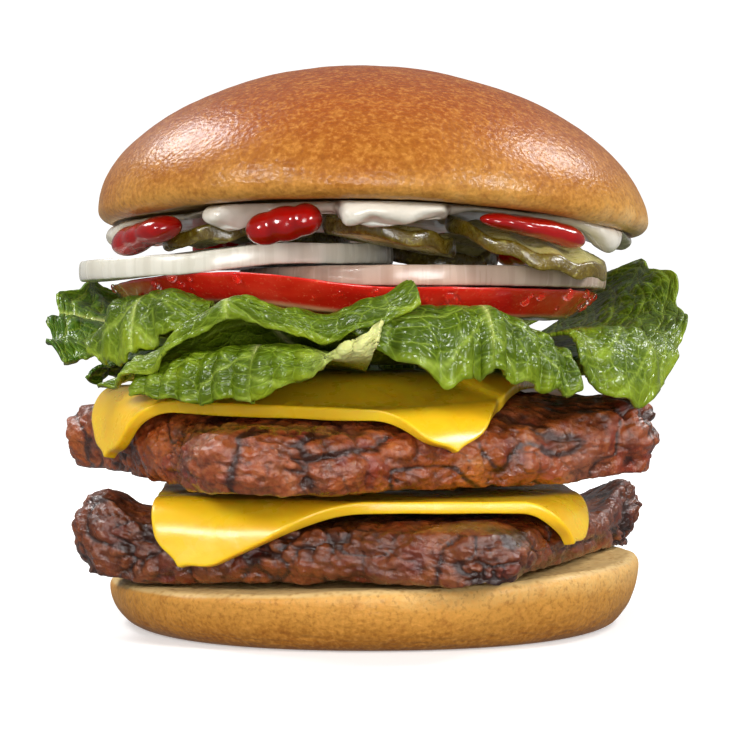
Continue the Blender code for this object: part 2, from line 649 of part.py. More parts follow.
def build():
    global collection
    clear_scene()
    collection = bpy.data.collections.new("double_cheeseburger")
    bpy.context.scene.collection.children.link(collection)

    bread = make_material("bread", GOLDEN, 0.55)
    meat = make_material("grilled_beef", (0.14, 0.05, 0.03), 0.45)
    melted = make_material("melted_cheese", (0.88, 0.55, 0.06), 0.30)
    leaf_green = make_material("lettuce", (0.16, 0.36, 0.05), 0.40)
    red_flesh = make_material("tomato", (0.66, 0.06, 0.04), 0.25)
    white_onion = make_material("onion", (0.82, 0.80, 0.72), 0.30)
    brined = make_material("pickle", (0.30, 0.27, 0.05), 0.35)
    cream = make_material("mayonnaise", (0.86, 0.83, 0.76), 0.25)
    red_sauce = make_material("ketchup", (0.55, 0.02, 0.01), 0.15)

    heel_bun(bread)
    patty("patty_lower", meat, LOWER_PATTY_HALF, LOWER_PATTY_TURN, LOWER_PATTY_CENTRE,
          lower_patty_base, lower_patty_top, 3.0)
    cheese("cheese_lower", melted, LOWER_CHEESE_HALF, LOWER_CHEESE_TURN, LOWER_CHEESE_CENTRE,
           LOWER_PATTY_HALF, LOWER_PATTY_TURN, LOWER_PATTY_CENTRE, lower_patty_top)
    patty("patty_upper", meat, UPPER_PATTY_HALF, UPPER_PATTY_TURN, UPPER_PATTY_CENTRE,
          upper_patty_base, upper_patty_top, 11.0)
    cheese("cheese_upper", melted, UPPER_CHEESE_HALF, UPPER_CHEESE_TURN, UPPER_CHEESE_CENTRE,
           UPPER_PATTY_HALF, UPPER_PATTY_TURN, UPPER_PATTY_CENTRE, upper_patty_top)
    for name, leaf in LEAVES.items():
        lettuce_leaf(name, leaf, leaf_green)
    lettuce_heart(leaf_green)

    laid_slice("tomato_slice", red_flesh, TOMATO_RADIUS, TOMATO_THICKNESS, 0.0016, TOMATO_CENTRE,
               lambda x, y: tomato_top(x, y) - TOMATO_THICKNESS, 28, oval=0.008, taper=0.12)
    laid_slice("onion_right", white_onion, ONION_RADIUS, ONION_THICKNESS, 0.0008,
               RIGHT_ONION_CENTRE, right_onion_bed, 24, oval=0.01)
    laid_slice("onion_left", white_onion, LEFT_ONION_RADIUS, ONION_THICKNESS, 0.0008,
               LEFT_ONION_CENTRE, left_onion_bed, 24, oval=0.01)

    pickle_chip("pickle_left", brined, 0.0130, (-0.0304, -0.0220, 0.0811), 0.12, 0.02, 0.3)
    pickle_chip("pickle_middle", brined, 0.0138, (0.0034, -0.0325, 0.0804), -0.19, 0.0, 1.2)
    pickle_chip("pickle_right", brined, 0.0166, (0.0312, -0.0316, 0.0788), -0.24, 0.11, 0.2, sag=0.20)
    pickle_chip("pickle_back_right", brined, 0.0130, (0.0160, 0.0236, 0.0796), -0.06, 0.235, 0.8)
    pickle_chip("pickle_back_left", brined, 0.0130, (-0.0180, 0.0300, 0.0817), -0.02, -0.05, 1.8)

    mayonnaise(cream)
    for name, dollop in KETCHUP.items():
        ketchup_dollop(name, dollop, red_sauce)
    crown_bun(bread)


build()
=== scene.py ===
"""The looks of the double cheeseburger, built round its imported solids.

Every piece is rebuilt as a fine mesh from the same rules as the solid that it stands for, and
is then fitted to that solid's box. Lengths are in metres unless a name or comment says mm.
"""

import math

import bmesh
import bpy
import numpy as np
from mathutils import Matrix, Vector
from mathutils.bvhtree import BVHTree


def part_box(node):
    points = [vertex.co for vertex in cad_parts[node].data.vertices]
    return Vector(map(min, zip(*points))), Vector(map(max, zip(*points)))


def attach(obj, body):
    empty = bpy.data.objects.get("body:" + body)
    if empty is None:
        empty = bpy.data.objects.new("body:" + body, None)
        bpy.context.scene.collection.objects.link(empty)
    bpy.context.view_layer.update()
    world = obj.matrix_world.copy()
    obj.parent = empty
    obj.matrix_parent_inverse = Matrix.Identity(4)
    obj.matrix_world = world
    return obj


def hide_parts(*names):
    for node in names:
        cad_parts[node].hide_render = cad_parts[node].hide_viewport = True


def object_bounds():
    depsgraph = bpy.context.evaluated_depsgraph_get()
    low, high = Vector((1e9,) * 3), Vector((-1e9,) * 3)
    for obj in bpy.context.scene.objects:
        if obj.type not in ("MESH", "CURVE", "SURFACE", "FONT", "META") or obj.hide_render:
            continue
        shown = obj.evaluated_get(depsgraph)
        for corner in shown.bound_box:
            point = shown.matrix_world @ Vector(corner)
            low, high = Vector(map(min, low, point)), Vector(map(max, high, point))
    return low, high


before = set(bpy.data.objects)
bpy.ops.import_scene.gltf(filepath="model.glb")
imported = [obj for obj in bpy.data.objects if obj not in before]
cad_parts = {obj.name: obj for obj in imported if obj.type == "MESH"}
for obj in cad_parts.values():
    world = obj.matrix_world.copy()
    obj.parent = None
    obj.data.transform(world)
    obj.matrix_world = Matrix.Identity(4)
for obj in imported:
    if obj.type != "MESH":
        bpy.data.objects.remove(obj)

CAD_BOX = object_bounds()
MM = 0.001
GAP = 0.4 * MM
rng = np.random.default_rng(7)


# Noise ------------------------------------------------------------------------------------


def lattice(cell, seed):
    """A repeatable number from 0 to 1 for each whole-number point of the array cell."""
    mixed = cell[..., 0] * 374761393 + cell[..., 1] * 668265263 + cell[..., 2] * 1440662683
    mixed = (mixed + seed * 974634777) & 0xFFFFFFFF
    mixed = ((mixed ^ (mixed >> 13)) * 1274126177) & 0xFFFFFFFF
    return ((mixed ^ (mixed >> 16)) & 0xFFFF) / 65535.0


def soft_noise(points, size, seed=0):
    """Smooth noise from -1 to 1 whose features are about size across."""
    q = points / size
    low = np.floor(q).astype(np.int64)
    f = q - low
    f = f * f * (3.0 - 2.0 * f)
    total = np.zeros(q.shape[:-1])
    for corner in np.ndindex(2, 2, 2):
        step = np.array(corner)
        weight = np.prod(np.where(step == 1, f, 1.0 - f), axis=-1)
        total += weight * lattice(low + step, seed)
    return 2.0 * total - 1.0


def layered_noise(points, size, layers=3, seed=0):
    total, weight = 0.0, 1.0
    for layer in range(layers):
        total = total + weight * soft_noise(points, size / 2**layer, seed + 11 * layer)
        weight *= 0.5
    return total


def cells(points, size, seed=0):
    """For each point, its distance to the nearest and to the second-nearest of a field of
    scattered centres, both as shares of size, and a number from 0 to 1 that is the nearest's own."""
    q = points / size
    low = np.floor(q).astype(np.int64)
    first = np.full(q.shape[:-1], 9.0)
    second = first.copy()
    own = np.zeros_like(first)
    for corner in np.ndindex(3, 3, 3):
        cell = low + np.array(corner) - 1
        centre = cell + np.stack([lattice(cell, seed + i) for i in range(3)], -1)
        distance = np.linalg.norm(q - centre, axis=-1)
        nearer = distance < first
        second = np.where(nearer, first, np.minimum(second, distance))
        own = np.where(nearer, lattice(cell, seed + 5), own)
        first = np.where(nearer, distance, first)
    return first, second, own


def warp(points, size, amount, seed=0):
    """The points, each pushed a little, which bends any pattern that is read from them."""
    shifts = [soft_noise(points, size, seed + 31 * i) for i in range(3)]
    return points + amount * np.stack(shifts, -1)


def smooth_step(value, start, end):
    t = np.clip((value - start) / (end - start), 0.0, 1.0)
    return t * t * (3.0 - 2.0 * t)


# Meshes -----------------------------------------------------------------------------------


def mesh_from(name, points, faces):
    mesh = bpy.data.meshes.new(name)
    mesh.from_pydata(np.asarray(points).tolist(), [], np.asarray(faces, dtype=object).tolist())
    mesh.validate()
    mesh.update()
    return mesh


def quads_between(rows, columns, wrapped):
    """Faces of a grid of rows by columns points. A wrapped grid's last column meets its first."""
    i = np.arange(rows - 1)[:, None]
    j = np.arange(columns if wrapped else columns - 1)[None, :]
    k = (j + 1) % columns
    corners = [i * columns + j, (i + 1) * columns + j, (i + 1) * columns + k, i * columns + k]
    return np.stack(np.broadcast_arrays(*corners), -1).reshape(-1, 4).tolist()


def solid_from_rings(name, rings):
    """A closed mesh from an array of rings of points, which run from the top's middle outwards,
    down the side and back to the middle of the base, anticlockwise as seen from above."""
    count, steps, _ = rings.shape
    points = np.vstack([rings.reshape(-1, 3), rings[0].mean(0), rings[-1].mean(0)])
    faces = quads_between(count, steps, True)
    top, base = count * steps, count * steps + 1
    last = (count - 1) * steps
    for j in range(steps):
        k = (j + 1) % steps
        faces.append([top, j, k])
        faces.append([last + k, last + j, base])
    return mesh_from(name, points, faces)


def points_of(mesh):
    flat = np.zeros(len(mesh.vertices) * 3)
    mesh.vertices.foreach_get("co", flat)
    return flat.reshape(-1, 3)


def normals_of(mesh):
    flat = np.zeros(len(mesh.vertices) * 3)
    mesh.vertices.foreach_get("normal", flat)
    return flat.reshape(-1, 3)


def set_points(mesh, points):
    mesh.vertices.foreach_set("co", np.asarray(points, dtype=np.float32).ravel())
    mesh.update()


def store(mesh, name, values):
    """Keeps one number for each vertex, which a material reads by name."""
    layer = mesh.attributes.get(name) or mesh.attributes.new(name, "FLOAT", "POINT")
    layer.data.foreach_set("value", np.asarray(values, dtype=np.float32).ravel())


def store_vector(mesh, name, values):
    layer = mesh.attributes.get(name) or mesh.attributes.new(name, "FLOAT_VECTOR", "POINT")
    layer.data.foreach_set("vector", np.asarray(values, dtype=np.float32).ravel())


def fit_to_node(mesh, node, slack=0.0):
    """Stretches the mesh so that its box is the node's, grown by slack but inside the CAD's box."""
    low, high = (np.array(corner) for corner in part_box(node))
    low = np.maximum(low - slack, np.array(CAD_BOX[0]))
    high = np.minimum(high + slack, np.array(CAD_BOX[1]))
    points = points_of(mesh)
    start, end = points.min(0), points.max(0)
    set_points(mesh, low + (points - start) * (high - low) / (end - start))


def push_out(mesh, height):
    """Moves each point of the mesh out along its normal by its height."""
    set_points(mesh, points_of(mesh) + normals_of(mesh) * height[:, None])


def add_object(name, data):
    made = bpy.data.objects.new(name, data)
    bpy.context.scene.collection.objects.link(made)
    return made


def add_piece(name, mesh, material, node=None, slack=0.0):
    """Shows the mesh as a piece of the burger, fitted to the solid called node and in its place."""
    if node:
        fit_to_node(mesh, node, slack)
    piece = add_object(name, mesh)
    mesh.materials.clear()
    mesh.materials.append(material)
    mesh.shade_smooth()
    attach(piece, "root")
    if node:
        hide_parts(node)
    return piece


def bake(mesh, *modifiers):
    """The mesh after the modifiers, each given as (kind, settings)."""
    holder = add_object("holder", mesh)
    for kind, settings in modifiers:
        modifier = holder.modifiers.new(kind, kind)
        for key, value in settings.items():
            setattr(modifier, key, value)
    graph = bpy.context.evaluated_depsgraph_get()
    result = bpy.data.meshes.new_from_object(holder.evaluated_get(graph))
    bpy.data.objects.remove(holder)
    return result


# Materials --------------------------------------------------------------------------------


def colour(red, green, blue):
    """A colour given from 0 to 255 as a screen shows it, as the shader wants it."""
    shares = [c / 255.0 for c in (red, green, blue)]
    linear = [c / 12.92 if c <= 0.04045 else ((c + 0.055) / 1.055) ** 2.4 for c in shares]
    return (*linear, 1.0)


class Look:
    """A Principled material and short names for the nodes that feed it."""

    def __init__(self, name, **sockets):
        self.material = bpy.data.materials.new(name)
        self.material.use_nodes = True
        self.tree = self.material.node_tree
        self.shader = self.tree.nodes["Principled BSDF"]
        for key, value in sockets.items():
            self.shader.inputs[key.replace("_", " ")].default_value = value
        self.place = self.node("ShaderNodeTexCoord").outputs["Object"]

    def node(self, kind, inputs=None, **settings):
        made = self.tree.nodes.new(kind)
        for key, value in settings.items():
            setattr(made, key, value)
        for key, value in (inputs or {}).items():
            self.feed(made.inputs[key], value)
        return made

    def feed(self, socket, source):
        if isinstance(source, bpy.types.NodeSocket):
            self.tree.links.new(source, socket)
        else:
            socket.default_value = source

    def to_shader(self, name, source):
        self.feed(self.shader.inputs[name], source)

    def relief(self, normal):
        """Gives the skin and the clear coat over it the same relief."""
        self.to_shader("Normal", normal)
        self.to_shader("Coat Normal", normal)

    def roughness(self, value, low, high):
        """Roughness that wanders from low to high with the noise value."""
        self.to_shader("Roughness", self.span(value, 0.3, 0.7, low, high))

    def attribute(self, name, output="Fac"):
        return self.node("ShaderNodeAttribute", attribute_name=name).outputs[output]

    def height(self):
        return self.node("ShaderNodeSeparateXYZ", {0: self.place}).outputs["Z"]

    def stretched(self, x, y, z, place=None):
        inputs = {"Vector": place or self.place, "Scale": (x, y, z)}
        return self.node("ShaderNodeMapping", inputs).outputs[0]

    def noise(self, size, detail=3.0, rough=0.55, distortion=0.0, place=None):
        inputs = {
            "Vector": place or self.place,
            "Scale": 1.0 / size,
            "Detail": detail,
            "Roughness": rough,
            "Distortion": distortion,
        }
        return self.node("ShaderNodeTexNoise", inputs).outputs["Fac"]

    def cells(self, size, feature="F1", place=None):
        inputs = {"Vector": place or self.place, "Scale": 1.0 / size}
        return self.node("ShaderNodeTexVoronoi", inputs, feature=feature).outputs["Distance"]

    def span(self, value, low, high, out_low=0.0, out_high=1.0):
        """value as it runs from low to high, spread over out_low to out_high."""
        inputs = {"Value": value, "From Min": low, "From Max": high, "To Min": out_low, "To Max": out_high}
        return self.node("ShaderNodeMapRange", inputs).outputs[0]

    def math(self, operation, a, b):
        return self.node("ShaderNodeMath", {0: a, 1: b}, operation=operation).outputs[0]

    def ramp(self, value, *stops):
        """A colour read from stops, each a place from 0 to 1 and a colour."""
        made = self.node("ShaderNodeValToRGB", {0: value})
        scale = made.color_ramp
        while len(scale.elements) < len(stops):
            scale.elements.new(0.5)
        for element, (place, shade) in zip(scale.elements, stops):
            element.position = place
            element.color = shade
        return made.outputs["Color"]

    def mix(self, share, a, b, blend="MIX"):
        # A colour mix has its two colours in the sockets numbered 6 and 7.
        inputs = {"Factor": share, 6: a, 7: b}
        return self.node("ShaderNodeMix", inputs, data_type="RGBA", blend_type=blend).outputs[2]

    def bump(self, value, depth, strength=1.0, below=None):
        """Relief whose full height is depth, laid over the relief below."""
        inputs = {"Height": value, "Distance": depth, "Strength": strength}
        if below is not None:
            inputs["Normal"] = below
        return self.node("ShaderNodeBump", inputs).outputs[0]


def crust_look(name, low, high, stops, crumb, gloss):
    """A baked crust that runs through the colours in stops from the height low to high. Where
    the attribute crumb is 1 the bread is cut and shows its crumb."""
    look = Look(name, Specular_IOR_Level=0.15, Coat_Weight=gloss, Coat_Roughness=0.20)
    blotch = look.span(look.noise(0.020, 4.0), 0.3, 0.7, -0.09, 0.09)
    level = look.math("ADD", look.span(look.height(), low, high), blotch)
    skin = look.ramp(level, *stops)
    speckle = look.noise(0.0010, 3.0, 0.6)
    mottle = look.noise(0.0034, 4.0, 0.6, 0.5)
    skin = look.mix(look.span(mottle, 0.50, 0.70, 0.0, 0.34), skin, colour(204, 138, 56))
    skin = look.mix(look.span(mottle, 0.30, 0.48, 0.30, 0.0), skin, colour(134, 60, 12))
    skin = look.mix(look.span(speckle, 0.50, 0.70, 0.0, 0.50), skin, colour(218, 152, 72))
    skin = look.mix(look.span(speckle, 0.30, 0.48, 0.42, 0.0), skin, colour(116, 58, 16))
    # The crumb is painted darker in the middle of each pore, as shade down in the hole.
    pores = look.cells(0.0016)
    inner = look.mix(look.span(pores, 0.0, 0.45, 1.0, 0.0), crumb, colour(186, 138, 76))
    cut = look.attribute("crumb")
    look.to_shader("Base Color", look.mix(cut, skin, inner))
    look.roughness(look.noise(0.004), 0.36, 0.50)
    wrinkle = look.cells(0.0012, place=look.stretched(1.0, 1.0, 1.5))
    relief = look.bump(speckle, 0.00022, 0.6, look.bump(wrinkle, 0.00016, 0.5))
    look.relief(relief)
    return look.material


def meat_look(name, shade):
    """Browned mince. A shade under 1 darkens all of its colours."""
    look = Look(name, Specular_IOR_Level=0.35, Coat_Weight=0.7, Coat_Roughness=0.09)
    tone = look.attribute("tone")
    patch = look.noise(0.010, 4.0, 0.6, 0.6)
    brown = look.ramp(
        look.math("ADD", look.span(patch, 0.28, 0.72, 0.0, 0.72), look.span(tone, 0.0, 1.0, 0.0, 0.28)),
        (0.0, colour(66, 20, 6)),
        (0.32, colour(112, 44, 13)),
        (0.58, colour(148, 66, 22)),
        (0.80, colour(176, 94, 36)),
        (1.0, colour(206, 134, 66)),
    )
    fine = look.noise(0.0011, 4.0, 0.65)
    brown = look.mix(look.span(fine, 0.40, 0.70, 0.0, 0.45), brown, colour(176, 108, 58))
    red = look.span(look.noise(0.008, 2.0), 0.53, 0.68)
    brown = look.mix(look.math("MULTIPLY", red, 0.65), brown, colour(124, 24, 12))
    grey = look.span(look.noise(0.012, 3.0, 0.6), 0.54, 0.68)
    brown = look.mix(look.math("MULTIPLY", grey, 0.25), brown, colour(132, 94, 78))
    brown = look.mix(1.0, brown, (shade, shade, shade, 1.0), "MULTIPLY")
    # Crevices are painted almost black, as shade in them.
    cavity = look.attribute("cavity")
    look.to_shader("Base Color", look.mix(look.span(cavity, 0.12, 0.85, 0.0, 0.92), brown, colour(36, 12, 5)))
    look.to_shader("Roughness", look.span(look.noise(0.0035, 3.0), 0.38, 0.66, 0.24, 0.60))
    grain = look.cells(0.0017, place=look.stretched(1.0, 1.0, 1.3))
    relief = look.bump(grain, 0.0005, 0.6, look.bump(look.noise(0.0009, 4.0, 0.7), 0.0004, 0.7))
    look.relief(relief)
    return look.material


def cheese_look():
    look = Look("melted_cheese", Subsurface_Weight=0.45, Subsurface_Scale=0.0030,
                Subsurface_Radius=(1.0, 0.55, 0.12), Coat_Weight=0.15,
                Coat_Roughness=0.12, Specular_IOR_Level=0.45)
    cloud = look.noise(0.013, 3.0, 0.5, 0.4)
    look.to_shader("Base Color", look.ramp(cloud, (0.25, colour(240, 184, 20)), (0.75, colour(246, 200, 34))))
    look.roughness(look.noise(0.006), 0.24, 0.36)
    relief = look.bump(look.noise(0.006, 2.0), 0.0005, 0.35)
    look.to_shader("Normal", look.bump(look.noise(0.0009, 3.0), 0.00006, 0.4, relief))
    return look.material


def lettuce_look(name, dark, mid, light):
    """Leaf flesh between dark and light, with pale veins that the meshes carry as vein. A leaf's tone
    lightens the flesh as a painted highlight along its edges, and darkens it as painted shade in the creases
    between blisters.
    """
    look = Look(name, Subsurface_Weight=0.12, Subsurface_Scale=0.0010,
                Subsurface_Radius=(0.5, 1.0, 0.15), Specular_IOR_Level=0.20,
                Coat_Weight=0.30, Coat_Roughness=0.10)
    flat = look.attribute("flat", "Vector")
    patch = look.noise(0.014, 4.0, 0.55, 0.3, flat)
    # The tone holds random tone, painted highlight at leaf edges and painted shade in creases.
    tone = look.attribute("tone")
    flesh = look.ramp(
        look.math("ADD", look.span(patch, 0.25, 0.75, 0.0, 0.55), look.math("MULTIPLY", tone, 0.45)),
        (0.0, dark),
        (0.5, mid),
        (1.0, light),
    )
    net = look.cells(0.0042, "DISTANCE_TO_EDGE", flat)
    fine_net = look.cells(0.0016, "DISTANCE_TO_EDGE", flat)
    flesh = look.mix(look.span(net, 0.0, 0.06, 0.36, 0.0), flesh, colour(158, 182, 58))
    flesh = look.mix(look.span(fine_net, 0.0, 0.10, 0.18, 0.0), flesh, colour(144, 170, 52))
    pale = look.mix(look.attribute("heart"), colour(170, 192, 76), colour(222, 222, 146))
    flesh = look.mix(look.attribute("vein"), flesh, pale)
    look.to_shader("Base Color", flesh)
    look.roughness(look.noise(0.003, 3.0, 0.5, 0.0, flat), 0.26, 0.44)
    relief = look.bump(look.span(net, 0.0, 0.22), 0.00035, 0.5)
    relief = look.bump(look.span(fine_net, 0.0, 0.2), 0.00016, 0.5, relief)
    look.relief(relief)
    return look.material


def tomato_look():
    look = Look("tomato", Subsurface_Weight=0.18, Subsurface_Scale=0.0018,
                Subsurface_Radius=(1.0, 0.2, 0.12), Coat_Weight=0.5,
                Coat_Roughness=0.08, Specular_IOR_Level=0.5)
    streak = look.noise(0.010, 3.0, 0.5, 0.2, look.stretched(1.0, 1.0, 3.0))
    skin = look.ramp(
        streak,
        (0.25, colour(196, 20, 12)),
        (0.55, colour(216, 34, 22)),
        (0.85, colour(230, 66, 44)),
    )
    speck = look.noise(0.0008, 2.0, 0.6)
    skin = look.mix(look.span(speck, 0.60, 0.72, 0.0, 0.45), skin, colour(232, 120, 84))
    wedge = look.attribute("wedge")
    flesh = look.mix(wedge, colour(214, 74, 52), colour(226, 112, 70))
    flesh = look.mix(look.attribute("rim"), flesh, skin)
    # The bottom of the skin's rim is paler.
    look.to_shader("Base Color", look.mix(look.attribute("peel"), flesh, colour(236, 172, 128)))
    look.roughness(look.noise(0.004), 0.16, 0.28)
    relief = look.bump(look.noise(0.005, 3.0), 0.0006, 0.3)
    look.to_shader("Normal", look.bump(speck, 0.00005, 0.5, relief))
    return look.material


def onion_look(name, pale, tint):
    look = Look(name, Subsurface_Weight=0.30, Subsurface_Scale=0.0022,
                Subsurface_Radius=(1.0, 0.9, 0.8), Coat_Weight=0.35,
                Coat_Roughness=0.12, Specular_IOR_Level=0.5)
    flat = look.attribute("flat", "Vector")
    fibre = look.noise(0.0022, 2.0, 0.5, 0.0, look.stretched(1.0, 0.08, 0.08, flat))
    broad = look.noise(0.009, 2.0, 0.5, 0.0, look.stretched(1.0, 0.25, 0.25, flat))
    band = look.math("ADD", look.span(fibre, 0.25, 0.75, 0.0, 0.45), look.span(broad, 0.25, 0.75, 0.0, 0.55))
    flesh = look.ramp(band, (0.1, tint), (0.75, pale))
    ring = look.attribute("ring")
    look.to_shader("Base Color", look.mix(ring, flesh, colour(176, 166, 140)))
    look.roughness(fibre, 0.20, 0.34)
    look.to_shader("Normal", look.bump(band, 0.0002, 0.35))
    return look.material


def pickle_look():
    look = Look("pickle", Subsurface_Weight=0.15, Subsurface_Scale=0.0014,
                Subsurface_Radius=(1.0, 0.9, 0.3), Coat_Weight=0.5,
                Coat_Roughness=0.14, Specular_IOR_Level=0.5)
    patch = look.noise(0.005, 4.0, 0.6, 0.4)
    skin = look.ramp(patch, (0.2, colour(68, 54, 6)), (0.5, colour(94, 76, 10)), (0.8, colour(130, 108, 26)))
    wart = look.noise(0.0011, 3.0, 0.6)
    skin = look.mix(look.span(wart, 0.55, 0.70, 0.0, 0.5), skin, colour(176, 166, 74))
    flesh = look.ramp(look.noise(0.003, 4.0), (0.3, colour(176, 168, 84)), (0.7, colour(214, 206, 138)))
    flesh = look.mix(look.attribute("seed"), flesh, colour(232, 222, 168))
    look.to_shader("Base Color", look.mix(look.attribute("rim"), flesh, skin))
    look.roughness(wart, 0.22, 0.40)
    look.to_shader("Normal", look.bump(wart, 0.00045, 0.6))
    return look.material


def sauce_look(name, stops, radius, roughness, wave, coat):
    look = Look(name, Subsurface_Weight=0.25, Subsurface_Scale=0.0015,
                Subsurface_Radius=radius, Coat_Weight=coat,
                Coat_Roughness=0.04, Specular_IOR_Level=0.5)
    look.to_shader("Base Color", look.ramp(look.noise(0.006, 3.0, 0.5, 0.3), *stops))
    look.roughness(look.noise(0.004), roughness, roughness + 0.08)
    relief = look.bump(look.noise(0.003, 2.0), wave, 0.5)
    look.to_shader("Normal", look.bump(look.noise(0.0007, 2.0), 0.00004, 0.4, relief))
    return look.material


def water_look():
    look = Look("water", Transmission_Weight=1.0, Roughness=0.02, IOR=1.33)
    tint = look.ramp(look.noise(0.002, 2.0), (0.3, (1.0, 0.97, 0.95, 1.0)), (0.7, (1.0, 1.0, 1.0, 1.0)))
    look.to_shader("Base Color", tint)
    return look.material


# Buns -------------------------------------------------------------------------------------

CROWN_RADIUS = 59.4 * MM
CROWN_RIM = 85.35 * MM  # mean height of the rim
CROWN_RISE = 34.7 * MM
CROWN_WAIST = 3.0 * MM  # the dome is widest this far above the rim
CROWN_ARCH = 1.85 * MM  # the rim is higher at the front and back by this, and lower at the sides
CROWN_LEAN = -1.3 * MM
CROWN_SHIFT = -2.6 * MM
CROWN_HOLLOW = 4.6 * MM
CROWN_POWER = 1.81
CROWN_LIP = 3.4 * MM  # how far the rim turns in to the cut face
CROWN_FACE = CROWN_RADIUS - 4.2 * MM
BUN_STEPS = 300
BUN_MIDDLE = 0.5 * MM  # radius of the last ring of a face


def crown_rim(x, y):
    angle = np.arctan2(y, x)
    return CROWN_RIM - CROWN_ARCH * np.cos(2.0 * angle) + CROWN_LEAN * np.cos(angle)


def crown_base(x, y):
    """Underside of the crown: its rim's height, pushed up in the middle."""
    share = np.minimum(1.0, np.hypot(x, y) / CROWN_RADIUS)
    middle = CROWN_RIM + CROWN_HOLLOW
    return middle + (crown_rim(x, y) - middle) * share**2


def turned(profile, steps):
    """Rings of points from an array of (radius, height)."""
    angle = np.linspace(0.0, 2.0 * math.pi, steps, endpoint=False)
    radius, height = profile[:, 0][:, None], profile[:, 1][:, None]
    return np.stack(np.broadcast_arrays(radius * np.cos(angle), radius * np.sin(angle), height), -1)


def crown_bun(material):
    angle = np.linspace(0.0, math.pi / 2, 90)[1:]
    power = 2.0 / CROWN_POWER
    dome = np.stack([
        CROWN_RADIUS * np.sin(angle) ** power,
        CROWN_WAIST + (CROWN_RISE - CROWN_WAIST) * np.cos(angle) ** power,
    ], -1)
    turn_in = np.linspace(0.0, math.pi / 2, 14)[1:]
    lip = np.stack([
        CROWN_RADIUS - CROWN_LIP * (1.0 - np.cos(turn_in)),
        CROWN_WAIST * (1.0 - np.sin(turn_in)),
    ], -1)
    face = np.stack([np.linspace(CROWN_FACE, BUN_MIDDLE, 46), np.zeros(46)], -1)
    rings = turned(np.vstack([dome, lip, face]), BUN_STEPS)
    x0, y0, z0 = rings[..., 0], rings[..., 1], rings[..., 2]
    swell = 1.0 + 0.006 * np.sin(3.0 * np.arctan2(y0, x0) + 1.0)
    x = x0 * swell + CROWN_SHIFT * (z0 / CROWN_RISE) ** 1.5
    y = y0 * swell
    rim = crown_rim(x, y)
    outside = rim + z0 + (CROWN_RIM - rim) * smooth_step(z0, 0.0, CROWN_RISE)
    under = np.arange(len(rings))[:, None] >= len(dome) + len(lip)
    z = np.where(under, crown_base(x, y), outside)
    mesh = solid_from_rings("bun_crown", np.stack([x, y, z], -1))
    points = points_of(mesh)
    cut = np.append(np.repeat(under[:, 0], BUN_STEPS), [False, True]).astype(float)
    dents = 0.35 * MM * layered_noise(points, 22 * MM, 2, 3)
    near, _, _ = cells(points, 2.2 * MM, 9)
    pores = -0.5 * MM * smooth_step(0.45 - near, 0.0, 0.3) * cut
    skin = 0.05 * MM * layered_noise(points, 2.6 * MM, 2, 5) * (1.0 - cut)
    push_out(mesh, dents + pores + skin)
    store(mesh, "crumb", cut)
    return add_piece("crown", mesh, material, "bun_crown")


HEEL_RADIUS = 57.0 * MM
HEEL_CENTRE_X = 0.6 * MM
HEEL_FLAT_RADIUS = 49.5 * MM
HEEL_HEIGHT = 12.6 * MM
HEEL_TILT = 0.20
HEEL_SIDE = 10.5 * MM  # height at which its side is widest
HEEL_LIP = 2.4 * MM  # how far its top edge is rounded


def heel_top(x, y):
    return HEEL_HEIGHT * (1.0 + HEEL_TILT * x / HEEL_RADIUS)


def heel_bun(material):
    face = np.stack([np.linspace(BUN_MIDDLE, HEEL_RADIUS - 1.1 * HEEL_LIP, 40), np.full(40, HEEL_HEIGHT)], -1)
    turn = np.linspace(0.0, math.pi / 2, 10)
    lip = np.stack([
        HEEL_RADIUS - HEEL_LIP * (1.0 - np.sin(turn)),
        HEEL_HEIGHT - (HEEL_HEIGHT - HEEL_SIDE) * (1.0 - np.cos(turn)),
    ], -1)
    angle = np.linspace(math.pi / 2, 0.0, 44)[1:]
    side = np.stack([
        HEEL_FLAT_RADIUS + (HEEL_RADIUS - HEEL_FLAT_RADIUS) * np.sin(angle),
        HEEL_SIDE * (1.0 - np.cos(angle)),
    ], -1)
    base = np.stack([np.linspace(HEEL_FLAT_RADIUS - 1.0 * MM, BUN_MIDDLE, 30), np.zeros(30)], -1)
    rings = turned(np.vstack([face, lip, side, base]), BUN_STEPS)
    angle = np.arctan2(rings[..., 1], rings[..., 0])
    swell = 1.0 + 0.012 * np.sin(2 * angle + 0.6) + 0.006 * np.sin(5 * angle)
    x, y = rings[..., 0] * swell + HEEL_CENTRE_X, rings[..., 1] * swell
    mesh = solid_from_rings("bun_heel", np.stack([x, y, rings[..., 2] * heel_top(x, y) / HEEL_HEIGHT], -1))
    points, normals = points_of(mesh), normals_of(mesh)
    cut = smooth_step(normals[:, 2], 0.55, 0.85)
    flat_base = smooth_step(-normals[:, 2], 0.6, 0.9)
    dents = 0.30 * MM * layered_noise(points, 14 * MM, 3, 13)
    near, _, _ = cells(points, 1.9 * MM, 19)
    low = smooth_step(6 * MM - points[:, 2], 0.0, 5 * MM) * (1.0 - flat_base)
    pores = -0.35 * MM * smooth_step(0.40 - near, 0.0, 0.25) * (0.25 + 0.75 * np.maximum(low, cut))
    push_out(mesh, (dents + pores) * (1.0 - flat_base))
    store(mesh, "crumb", cut)
    return add_piece("heel", mesh, material, "bun_heel")


# Patties ----------------------------------------------------------------------------------

PATTY_CORNER = 11.0 * MM
PATTY_EDGE = 6.0 * MM


def rounded_square_distance(x, y, half, corner):
    """Distance to the outline of a square with round corners; negative inside."""
    qx, qy = np.abs(x) - (half - corner), np.abs(y) - (half - corner)
    outside = np.hypot(np.maximum(qx, 0.0), np.maximum(qy, 0.0))
    return outside + np.minimum(np.maximum(qx, qy), 0.0) - corner


